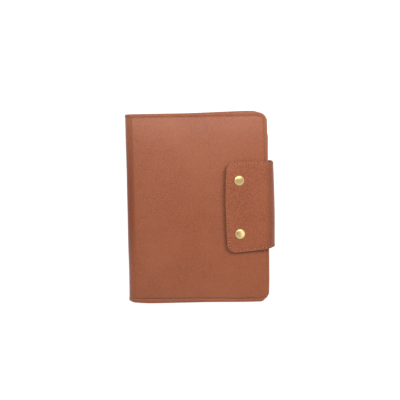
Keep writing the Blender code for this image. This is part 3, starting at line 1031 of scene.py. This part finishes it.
def bend_layer(piece, bend_x, bend_z, angle, steps, past_bend, run, outwards, thickness):
    """Turns a flat layer round its bend, runs it on, and gives it thickness and rolled edges."""
    spin_edge(piece, above(X, bend_x - HAIR), (bend_x, 0, bend_z), angle, steps)
    run_on(piece, past_bend, (0, 0, run))
    face_along(piece, below(X, bend_x), (0, 0, outwards))
    finish_edit()
    thicken(piece, thickness)
    edit(piece)
    roll_edges(LAYER_ROLL, 3)


print("strap", round(STRAP_THICK / MM, 2), "mm thick, top at", round(STRAP_TOP / MM, 1), "mm")

# %% [markdown]
# Both halves of the strap are made alike: an outer layer with painted edges and a pressed seam, a
# lining under it and the thread, all ended half way down the side. One function makes either half,
# so that the two always meet.


# %% Helpers for a half of the strap
def strap_seam(piece):
    """Laps the edge paint over the face a little, and presses the line for stitches."""
    pick(piece, "FACE", slot_is(OUTER))
    paint(piece, RIM)
    press([(EDGE_LAP, 0.0)])
    paint(piece, OUTER)
    return press_seam(piece, FLAP_SHOULDER, FLAP_LINE, FLAP_CLIMB)


def end_side(keep):
    """Ends a layer half way down the side, where the strap's two halves meet."""
    cut_off((0, 0, SIDE_MIDDLE), (0, 0, keep))
    finish_edit()


def strap_half(part, layer, keep, across=(), along=(), wave=None):
    """The outer layer, lining and seam of the upper (1) or lower (-1) half of the strap."""
    outer = layer(part + "_outer", 0.0, OUTER_LAYER, strap_finishes)
    loop = strap_seam(outer)
    end_side(keep)
    edit(outer)
    score(X, across)
    score(Y, along)
    finish_edit()
    if wave:
        soft_waves(outer, OUTER, *wave)
    smooth(outer)
    run = open_run(loop, lambda point: (point.z - SIDE_MIDDLE) * keep > MM)
    stitches = sew(part + "_stitches", run, tan_thread, strap_stitch, STRAP_PITCH)
    inner = layer(part + "_inner", OUTER_LAYER, INNER_LAYER, lining_finishes)
    end_side(keep)
    smooth(inner)
    for piece in (outer, inner, stitches):
        lean_side(piece)
        report(piece)
    return outer, inner, stitches


strap_finishes = (strap_leather, flesh_leather, painted_edge, hole_leather)
lining_finishes = (flesh_leather, sleeve_leather, painted_edge)
print("strap helpers ready")

# %% [markdown]
# The flap has a slightly crowned tip with rounded corners. Its outline is drawn by moving and
# bevelling points. It reaches half way down the side, where the strap's lower half meets it.

# %% Strap flap
TIP_X = 31.3 * MM
TIP_HEAD = 54.4 * MM
TIP_TAIL = -55.4 * MM
TIP_CROWN = 3.4 * MM
CROWN_ROUND = 38 * MM
HEAD_ROUND = 10 * MM
TAIL_ROUND = 11 * MM
FLAP_WAVE = (22 * MM, 0.3 * MM)
FLAP_RUN = SIDE_MIDDLE - STRAP_SPARE - STRAP_TOP + TOP_BEND


def flap_layer(name, drop, thickness, finishes):
    """One layer of the flap and of the upper half of the side."""
    piece = flat_sheet(name, TIP_X, TOP_BEND_X, FOLD_TAIL, FOLD_HEAD, STRAP_TOP - drop)
    take_slots(piece, *finishes)
    edit(piece)
    at_tip = below(X, TIP_X + MM)
    at_crown = both(above(Y, -5 * MM), below(Y, 5 * MM))
    shift(piece, "VERT", both(at_tip, above(Y, 0)), (0, TIP_HEAD - FOLD_HEAD, 0))
    shift(piece, "VERT", both(at_tip, below(Y, 0)), (0, TIP_TAIL - FOLD_TAIL, 0))
    pick(piece, "EDGE", at_tip)
    bpy.ops.mesh.subdivide(number_cuts=1)
    shift(piece, "VERT", at_crown, (-TIP_CROWN, 0, 0))
    round_corners(piece, at_crown, CROWN_ROUND, 14)
    round_corners(piece, above(Y, TIP_HEAD - HAIR), HEAD_ROUND, 8)
    round_corners(piece, below(Y, TIP_TAIL + HAIR), TAIL_ROUND, 9)
    past_bend = below(Z, TOP_BEND_Z + HAIR)
    bend_layer(
        piece, TOP_BEND_X, TOP_BEND_Z, -math.pi / 2, 14, past_bend, FLAP_RUN, 1, thickness)
    return piece


flap_across = spread(TIP_X, TOP_BEND_X, 5 * MM)
flap_along = spread(TIP_TAIL, TIP_HEAD, 8 * MM)
flap_outer, flap_inner, flap_stitches = strap_half(
    "flap", flap_layer, 1, flap_across, flap_along, FLAP_WAVE)

# %% [markdown]
# The lower half of the strap starts as the tab in the back cover's slot, turns up round the foot and
# meets the upper half. It is made the same way, from its underside.

# %% Strap root
TAB_DEPTH = 3.4 * MM
ROOT_RUN = SIDE_MIDDLE + STRAP_SPARE - STRAP_FOOT - FOOT_BEND


def root_layer(name, drop, thickness, finishes):
    piece = flat_sheet(
        name, RIGHT - TAB_DEPTH, FOOT_BEND_X, FOLD_TAIL, FOLD_HEAD, STRAP_FOOT + drop)
    take_slots(piece, *finishes)
    edit(piece)
    past_bend = above(Z, FOOT_BEND_Z - HAIR)
    bend_layer(
        piece, FOOT_BEND_X, FOOT_BEND_Z, math.pi / 2, 12, past_bend, ROOT_RUN, -1, thickness)
    return piece


root_outer, root_inner, root_stitches = strap_half("root", root_layer, -1)

# %% [markdown]
# The strap has two folds of its own: one over the front cover, one at the foot. Its layers and
# stitches have their transforms baked into their meshes, and the CAD strap is hidden.

# %% Bake the strap's pieces
for piece in (flap_outer, flap_inner, flap_stitches):
    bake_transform(piece)
for piece in (root_outer, root_inner, root_stitches):
    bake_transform(piece)
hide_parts("flap_leather", "strap_side_leather")
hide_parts("flap_lining", "strap_side_lining")
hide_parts("strap_root_leather")
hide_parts("strap_root_lining")

# %% [markdown]
# Each snap has a domed brass cap on the flap, a socket under it, and a stud on the front cover. They
# are turned parts, so each is a cylinder whose end face is inset and moved, ring by ring. A spun
# profile would do as well, but insets keep the rings' widths and heights easy to read.


# %% Helpers for snaps
def brass_finish():
    made, scratches, tarnish = streaked("brass", (1.0, 9.0, 1.0), 30, 900, 2.0, 420)
    tone = made.mixed(tarnish.between(0.35, 0.7), shade(0.76, 0.57, 0.26), shade(0.80, 0.61, 0.29))
    return made.surface(tone, 0.24 + 0.1 * scratches, scratches, 0.01 * MM, 0.06, Metallic=1.0)


def turned_part(name, centre, radius, low, high, end, steps):
    """A brass part whose upper (1) or lower (-1) end face is inset by steps."""
    deselect()
    place = (centre.x, centre.y, (low + high) / 2)
    bpy.ops.mesh.primitive_cylinder_add(
        vertices=48, radius=radius, depth=high - low, location=place)
    piece = placed(name)
    take_slots(piece, brass)
    edit(piece)
    pick(piece, "FACE", lambda face: face.normal.z * end > 0.9)
    press(steps)
    finish_edit()
    return piece


def dome(radius, rise, rings):
    """Inset steps for a dome that is flat in the middle and rounds off towards its edge."""
    turns = [math.pi / 2 * index / rings for index in range(rings)]
    radii = [radius * math.cos(turn) for turn in turns] + [0.06 * radius]
    heights = [rise * (1 - (value / radius) ** 2.6) ** 0.5 for value in radii]
    pairs = list(zip(radii, heights))
    return [(first[0] - second[0], second[1] - first[1]) for first, second in zip(pairs, pairs[1:])]


def lean(piece, centre, degrees):
    """Leans a piece a little towards +X about its centre."""
    turn = Matrix.Rotation(math.radians(degrees), 4, "Y")
    piece.data.transform(Matrix.Translation(centre) @ turn @ Matrix.Translation(-centre))


brass = brass_finish()
print("brass ready")

# %% [markdown]
# Both snaps are the same three parts. Each cap leans a little, as the flap under it does.

# %% Snaps
CAP_RADIUS = 6.0
CAP_RISE = 1.55
CAP_SINK = 0.5 * MM
CAP_WALL = 0.75 * MM
SOCKET_RADIUS = 4.8 * MM
STUD_RADIUS = 4.5 * MM
SOCKET_STEPS = [(0.3, 0.25), (0.9, 0.12), (0.6, -0.25), (0.25, -0.5), (0.3, -0.5)]
STUD_STEPS = [
    (0.25, 0.12), (1.6, 0.08), (0.9, 0.15), (0.1, 0.6), (-0.3, 0.35), (0.15, 0.25), (0.5, 0.2),
    (0.7, 0.06)]


def snap(side, cap_lean):
    """The cap, socket and stud of one snap. Returns the cap."""
    low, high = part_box(side + "_snap_cap")
    centre = (low + high) / 2
    cap = turned_part(
        side + "_cap", centre, CAP_RADIUS * MM, STRAP_TOP - CAP_SINK, STRAP_TOP + CAP_WALL,
        1, dome(CAP_RADIUS, CAP_RISE, 10))
    lean(cap, centre, cap_lean)
    socket_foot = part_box(side + "_snap_socket")[0].z
    socket = turned_part(
        side + "_socket", centre, SOCKET_RADIUS, socket_foot, STRAP_TOP - STRAP_THICK,
        -1, SOCKET_STEPS)
    stud_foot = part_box(side + "_snap_stud")[0].z
    stud = turned_part(
        side + "_stud", centre, STUD_RADIUS, TOP - 0.2 * MM, stud_foot + 0.4 * MM, 1, STUD_STEPS)
    parts = ((cap, "flap", "cap"), (socket, "flap", "socket"), (stud, "front", "stud"))
    for piece, body, node in parts:
        smooth(piece, 40)
        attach(piece, body)
        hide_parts(side + "_snap_" + node)
        report(piece)
    return cap


upper_cap = snap("upper", 4)
lower_cap = snap("lower", 2)

# %% [markdown]
# The inside of each cover is lined with a brown cotton twill. The cloth lies flat on the board and
# eases down into the spine, where it hangs free so that the cover can open. Its diagonal ribs follow
# the cloth: across the cover they count X and the drop into the spine together.

# %% Twill lining
LINING_THICK = 0.7 * MM
LINING_EDGE = 3.85 * MM
SPINE_LINING = 3.5 * MM
EASE = 5 * MM
EASE_STEPS = 5
LINING_SCORE = 12 * MM
RIB = 1.1 * MM
YARN = 0.55 * MM


def waves(length, spacing):
    """0 to 1 and back along a length, once for each spacing."""
    return (length * (2 * math.pi / spacing)).sine() * 0.5 + 0.5


def twill_finish():
    made = Finish("twill_lining")
    place = made.place()
    x, y, z = made.axes(place)
    across = x + abs(z - MIDDLE)
    ribs = waves(across + y, RIB)
    yarns = waves(across - y, YARN)
    slubs = made.noise(made.stretched(place, (1.0, 6.0, 1.0)), 240, 2.0)
    weave = ribs * (0.7 + 0.3 * yarns)
    dark = shade(0.085, 0.045, 0.027)
    tone = made.mixed(weave * 0.7 + slubs * 0.3, dark, shade(0.21, 0.118, 0.072))
    return made.surface(tone, 0.86, weave + slubs * 0.3, 0.25 * MM, 0.7)


def front_cloth(name):
    end = RIGHT - LINING_EDGE
    side = HEAD - LINING_EDGE
    piece = flat_sheet(name, BEND_X + EASE, end, -side, side, TOP - COVER_DEPTH)
    take_slots(piece, twill_lining, twill_lining, twill_lining)
    edit(piece)
    round_corners(piece, above(X, end - MM), CORNER - LINING_EDGE, 5)
    drop = COVER_DEPTH - SPINE_LINING
    for step in range(EASE_STEPS):
        angles = [math.pi * (step + index) / EASE_STEPS for index in (0, 1)]
        lift = drop * (math.cos(angles[0]) - math.cos(angles[1])) / 2
        edge_x = BEND_X + EASE * (1 - step / EASE_STEPS)
        run_on(piece, below(X, edge_x + HAIR), (-EASE / EASE_STEPS, 0, lift))
    spin_edge(piece, below(X, BEND_X + HAIR), (BEND_X, 0, BEND_Z), math.pi / 2, 12)
    run_on(piece, below(Z, BEND_Z + HAIR), (0, 0, MIDDLE - BEND_Z))
    face_along(piece, above(X, 0), (0, 0, 1))
    bpy.ops.mesh.flip_normals()
    score(X, spread(BEND_X + EASE, end, LINING_SCORE))
    score(Y, spread(-side, side, LINING_SCORE))
    finish_edit()
    thicken(piece, LINING_THICK)
    smooth(piece)
    return piece


def cut_size(piece):
    """The flat size of a sheet that bends only about Y: its area shared out over its height."""
    area = sum(face.area for face in piece.data.polygons) / 2
    heights = [vert.co.y for vert in piece.data.vertices]
    length = max(heights) - min(heights)
    return (area / length, length)


twill_lining = twill_finish()
front_lining = front_cloth("front_lining_cloth")
back_lining = turned_copy(front_lining, "back_lining_cloth")
settle_front(front_lining)
settle_back(back_lining)
fold_front(front_lining)
fold_back(back_lining)
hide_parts("front_lining", "spine_lining")
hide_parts("back_lining")
for piece in (front_lining, back_lining):
    report(piece)

# %% [markdown]
# The notebook's cards slide into two leather sleeves, sewn to the covers on three sides. A sleeve is
# a thin sheet that rises from its seam to clear the card, with a folded hem at its mouth. It is made
# wider than it is and cut off at the mouth, so that the seam runs out there.

# %% Sleeve
sleeve_low, sleeve_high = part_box("back_pocket")
SLEEVE_MOUTH = sleeve_low.x
SLEEVE_RIGHT, SLEEVE_HEAD, SLEEVE_TOP = sleeve_high
SLEEVE_THICK = 0.9 * MM
SLEEVE_LIFT = 1.15 * MM
SLEEVE_SPARE = 14 * MM
SLEEVE_SCORE = 6 * MM
SLEEVE_ROLL = 0.3 * MM
HEM = 7 * MM
HEM_FOLD = 0.45 * MM
HEM_ROUND = 0.2 * MM
SLEEVE_UNDER = [(2.4, 0.0), (1.2, -0.5), (1.2, -0.6)]
SLEEVE_SEAM = [(1.9, 0.0), (0.35, -0.1), (0.25, -0.12), (0.12, 0.0)]
SLEEVE_CLIMB = [(0.12, 0.0), (0.3, 0.2), (0.7, 0.5), (0.9, 0.47), (0.9, 0.2)]


def sleeve_sheet(name):
    """The back cover's sleeve. Also returns the loop of its seam."""
    level = SLEEVE_TOP - SLEEVE_LIFT
    piece = flat_sheet(
        name, SLEEVE_MOUTH - SLEEVE_SPARE, SLEEVE_RIGHT, -SLEEVE_HEAD, SLEEVE_HEAD, level)
    take_slots(piece, sleeve_leather, flesh_leather, sleeve_leather)
    edit(piece)
    round_corners(piece, above(X, SLEEVE_RIGHT - MM), CORNER - RIGHT + SLEEVE_RIGHT, 7)
    finish_edit()
    thicken(piece, SLEEVE_THICK)
    edit(piece)
    roll_edges(SLEEVE_ROLL, 3)
    pick(piece, "FACE", slot_is(INNER))
    press(SLEEVE_UNDER)
    pick(piece, "FACE", slot_is(OUTER))
    press(SLEEVE_SEAM)
    loop = border_loop(piece)
    press(SLEEVE_CLIMB)
    cut_off((SLEEVE_MOUTH, 0, 0), (1, 0, 0))
    pick(piece, "FACE", slot_is(OUTER))
    bpy.ops.mesh.bisect(plane_co=(SLEEVE_MOUTH + HEM, 0, 0), plane_no=(1, 0, 0))
    on_hem = both(below(X, SLEEVE_MOUTH + HEM), above(Z, SLEEVE_TOP - HAIR))
    pick(piece, "FACE", both(slot_is(OUTER), on_hem))
    bpy.ops.mesh.extrude_region_move(TRANSFORM_OT_translate={"value": (0, 0, HEM_FOLD)})
    finish_edit()
    apply_modifier(
        piece, "BEVEL", width=HEM_ROUND, segments=2, limit_method="ANGLE",
        angle_limit=math.radians(60))
    edit(piece)
    score(X, spread(SLEEVE_MOUTH, SLEEVE_RIGHT, SLEEVE_SCORE))
    score(Y, spread(-SLEEVE_HEAD, SLEEVE_HEAD, SLEEVE_SCORE))
    finish_edit()
    smooth(piece)
    return piece, loop


back_sleeve, sleeve_loop = sleeve_sheet("back_sleeve")
report(back_sleeve)

# %% [markdown]
# The sleeve is sewn round its three sides and along its hem. Sleeve and seams are then copied and
# turned over for the front cover, and each set settles with its own cover.

# %% Sleeves and their seams
up = Vector((0, 0, 1))
hem_start = Vector((SLEEVE_MOUTH + HEM - 1.6 * MM, SLEEVE_HEAD - 8 * MM, SLEEVE_TOP + 0.4 * MM))
hem_end = Vector((hem_start.x, -hem_start.y, hem_start.z))
hem_run = fine([(hem_start, up), (hem_end, up)])
sleeve_run = open_run(sleeve_loop, lambda point: point.x > SLEEVE_MOUTH + MM)
sleeve_stitches = sew(
    "back_sleeve_stitches", sleeve_run, tan_thread, cover_stitch, COVER_PITCH)
hem_stitches = sew("back_hem_stitches", hem_run, tan_thread, cover_stitch, COVER_PITCH)
for piece in (back_sleeve, sleeve_stitches, hem_stitches):
    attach(piece, "back")
    other = turned_copy(piece, piece.name.replace("back", "front"))
    settle_back(piece)
    settle_front(other)
    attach(other, "front")
    report(other)
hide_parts("back_pocket")
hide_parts("front_pocket")
cut_size(back_sleeve)

# %% [markdown]
# The notebook is six sewn sections. Each is a stack of leaves that never line up perfectly, so one
# leaf with rounded corners is made and copied, each copy a hair out of place. Lines in a material
# could stand for the leaves, but real ones give the block its uneven edge.


# %% Leaves
def paper_finish():
    made, fibres, mottle = streaked("paper", (1.0, 3.0, 1.0), 15, 900, 3.0, 60)
    tone = made.mixed(fibres * 0.5 + mottle * 0.5, shade(0.70, 0.66, 0.55), shade(0.82, 0.79, 0.70))
    return made.surface(tone, 0.9, fibres, 0.08 * MM, 0.4)


def leaf_sheet(low, high, thickness):
    piece = flat_sheet("leaf", low.x, high.x, low.y, high.y, 0)
    take_slots(piece, paper)
    edit(piece)
    round_corners(piece, above(X, high.x - MM), 5 * MM, 5)
    finish_edit()
    apply_modifier(piece, "SOLIDIFY", thickness=thickness, offset=-1)
    return piece


def section(number):
    """One sewn section. The lower three stay with the back cover, and the others turn."""
    node = "signature_%d" % number
    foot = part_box(node)[0].z
    copies = []
    for index in range(LEAVES):
        copy = copy_of(leaf, node + "_leaves")
        slip = Vector((chance.uniform(-0.35, 0.0) * MM, chance.uniform(-0.15, 0.15) * MM, 0))
        rise = Vector((0, 0, foot + leaf_step * (index + 1)))
        copy.data.transform(Matrix.Translation(slip + rise))
        copies.append(copy)
    piece = join(copies, node + "_leaves")
    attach(piece, "back" if number < 4 else "pages")
    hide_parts(node)
    return piece


LEAVES = 9
LEAF_FILL = 0.94
paper = paper_finish()
leaf_low, leaf_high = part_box("signature_1")
leaf_step = (leaf_high.z - leaf_low.z) / LEAVES
leaf = leaf_sheet(leaf_low, leaf_high, leaf_step * LEAF_FILL)
chance = random.Random(7)
for number in range(1, 7):
    report(section(number))
for pattern in (leaf, cover_stitch, strap_stitch):
    bpy.data.objects.remove(pattern)

# %% [markdown]
# The pieces that keep their CAD shape get finishes of their own: kraft card, the cloth tape at the
# back of the notebook, grey board, foam and the posts of the snaps. Card, board and foam are all
# fibres and flecks, so one function makes them at different scales.


# %% Finishes for CAD pieces
def fibre_finish(name, dark, pale, scale, roughness, depth, stretch=3.0):
    made = Finish(name)
    place = made.place()
    fibres = made.noise(made.stretched(place, (1.0, stretch, 1.0), 20), scale, 4.0, 0.6)
    flecks = made.noise(place, scale * 3, 1.0).between(0.62, 0.75)
    tone = made.mixed(fibres.between(0.3, 0.7), dark, pale)
    tone = made.mixed(flecks * 0.5, tone, dark)
    return made.surface(tone, roughness, fibres, depth, 0.5)


def tape_finish():
    made = Finish("spine_tape")
    y, z = made.axes(made.place())[Y:]
    weave = waves(y, 0.5 * MM).larger(waves(z, 0.5 * MM))
    tone = made.mixed(weave, shade(0.20, 0.18, 0.15), shade(0.42, 0.39, 0.33))
    return made.surface(tone, 0.85, weave, 0.12 * MM, 0.6)


def dress(finish, *nodes):
    """Gives CAD nodes a finish in every slot."""
    for node in nodes:
        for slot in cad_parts[node].material_slots:
            slot.material = finish
    print(finish.name, "on", ", ".join(nodes))


kraft_card = fibre_finish(
    "kraft_card", shade(0.30, 0.19, 0.10), shade(0.44, 0.29, 0.165), 500, 0.85, 0.1 * MM)
grey_board = fibre_finish(
    "grey_board", shade(0.22, 0.21, 0.19), shade(0.36, 0.34, 0.31), 420, 0.9, 0.1 * MM)
foam = fibre_finish(
    "foam", shade(0.52, 0.49, 0.40), shade(0.70, 0.67, 0.57), 1400, 0.95, 0.3 * MM, 1.0)
dress(kraft_card, "notebook_front_cover", "notebook_back_cover")
dress(tape_finish(), "notebook_spine_lower", "notebook_spine_upper")
dress(grey_board, "front_board", "back_board")
dress(foam, "back_foam")
dress(brass, "upper_snap_post", "lower_snap_post")

# %% [markdown]
# The board inside the spine and the foam in the front have to follow the hide where its tail draws
# in, or they would show through it. A copy of each CAD solid is merged, scored so that it can bend,
# and settled in the same way as the hide.


# %% Spine board and front foam
def settled_copy(node, name, body, settle, finish, places=()):
    """A copy of a CAD solid that follows the settled hide."""
    piece = bpy.data.objects.new(name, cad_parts[node].data.copy())
    bpy.context.collection.objects.link(piece)
    piece.data.materials.clear()
    take_slots(piece, finish)
    edit(piece)
    merge_all()
    score(X, places)
    finish_edit()
    settle(piece)
    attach(piece, body)
    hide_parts(node)
    report(piece)


settled_copy("spine_stiffener", "spine_board", "spine", settle_spine, grey_board)
foam_places = spread(BEND_X, RIGHT, 8 * MM)
settled_copy("front_foam", "front_pad", "front", settle_front, foam, foam_places)

# %% [markdown]
# The cover lies on a white table. A plain white one would light the cover from below, so through
# Light Path it is white to the camera and in reflections and grey to all other rays.

# %% Table
FLOOR_DROP = 0.4 * MM
SEEN_BY = ("Is Camera Ray", "Is Glossy Ray", "Is Transmission Ray")
WHITE = shade(1, 1, 1)
TABLE_GREY = shade(0.3, 0.3, 0.3)


def seen_rays(made):
    """1 for rays from the camera, from gloss or through glass."""
    rays = [made.node("ShaderNodeLightPath", output=name) for name in SEEN_BY]
    return rays[0].larger(rays[1]).larger(rays[2])


def white_table():
    made = Finish("white_table")
    glow = made.mixed(seen_rays(made), TABLE_GREY, WHITE)
    return made.surface(
        TABLE_GREY, 0.9, Emission_Color=glow, Emission_Strength=0.92, Specular_IOR_Level=0.0)


deselect()
bpy.ops.mesh.primitive_plane_add(size=8, location=(0, 0, -FLOOR_DROP))
floor = bpy.context.active_object
floor.name = "table"
take_slots(floor, white_table())
print("table ready")

# %% [markdown]
# A pale sky lights the cover from all sides. What gloss and brass mirror of it is dimmer overhead
# and ahead, and a little brighter behind, so that a dome shows light and dark as in a studio.

# %% Sky
SKY_LEVEL = 0.40
world = bpy.data.worlds.new("studio")
bpy.context.scene.world = world
world.use_nodes = True


class Sky(Finish):
    """The world's node tree, with the same node method."""

    def __init__(self, owner):
        self.tree = owner.node_tree


sky = Sky(world)
ahead, height = sky.axes(sky.node("ShaderNodeTexCoord", output="Generated"))[Y:]
raised = height.between(0.3, 0.6)
dim_overhead = 0.6 * height.between(0.2, 1.0)
dim_ahead = 0.3 * ahead.between(0.15, 0.5) * raised
bright_behind = 0.3 * (0.0 - ahead).between(0.0, 0.25) * raised
shown = 1.0 - dim_overhead - dim_ahead + bright_behind
level = SKY_LEVEL + seen_rays(sky) * (shown - SKY_LEVEL)
sky.link(world.node_tree.nodes["Background"].inputs["Color"], sky.mixed(level, shade(0, 0, 0), WHITE))
print("sky ready")

# %% [markdown]
# Two large soft lamps light the leather, a third near the head gives the sheen there, and each cap
# has a small glint of its own. The sheen and the glints show only in gloss, and the two large lamps
# never do, so each can be set without changing the other.


# %% Lamps
def lamp(name, place, aim, size, power):
    light = bpy.data.lights.new(name, "AREA")
    light.shape = "RECTANGLE"
    light.size = size[0]
    light.size_y = size[1]
    light.energy = power
    made = bpy.data.objects.new(name, light)
    bpy.context.collection.objects.link(made)
    made.location = place
    made.rotation_euler = (Vector(aim) - Vector(place)).to_track_quat("-Z", "Y").to_euler()
    return made


def glint(cap, turn, tilt, size, power):
    """A small soft lamp for one cap, at a compass turn and a tilt from straight above."""
    points = [vert.co for vert in cap.data.vertices]
    centre = sum(points, Vector()) / len(points)
    turn = math.radians(turn)
    tilt = math.radians(tilt)
    away = Vector((
        math.sin(tilt) * math.sin(turn), math.sin(tilt) * math.cos(turn), math.cos(tilt)))
    made = lamp(cap.name + "_glint", centre + away * GLINT_AWAY, centre, size, power)
    made.visible_diffuse = False
    made.light_linking.receiver_collection = bpy.data.collections.new(made.name)
    made.light_linking.receiver_collection.objects.link(cap)


GLINT_AWAY = 0.25
ORIGIN = (0.0, 0.0, 0.0)
SOFT = (0.5, 0.5)
key_lamp = lamp("key_lamp", (0.45, 0.36, 0.72), ORIGIN, SOFT, 4.6)
fill_lamp = lamp("fill_lamp", (-0.35, 0.42, 0.72), ORIGIN, SOFT, 2.3)
key_lamp.visible_glossy = False
fill_lamp.visible_glossy = False
sheen_lamp = lamp("sheen_lamp", (0.0, 0.15, 0.24), (0.0, 0.05, 0.026), (0.36, 0.12), 0.38)
sheen_lamp.visible_diffuse = False
glint(upper_cap, -20, 52, (0.2, 0.1), 0.046)
glint(lower_cap, 72, 30, (0.26, 0.18), 0.155)
print("five lamps ready")

# %% [markdown]
# The camera looks almost straight down from 1.3 m through a long lens, as the photograph does.

# %% Camera
camera_data = bpy.data.cameras.new("camera")
camera = bpy.data.objects.new("camera", camera_data)
bpy.context.collection.objects.link(camera)
camera.location = (-0.0373, 0.0594, 1.3185)
camera.rotation_euler = [math.radians(angle) for angle in (-2.18, -1.65, -1.11)]
camera_data.sensor_width = 36
camera_data.lens = 97.16
camera_data.clip_start = 0.01
bpy.context.scene.camera = camera
bpy.context.scene.view_settings.view_transform = "Standard"
print("camera ready")
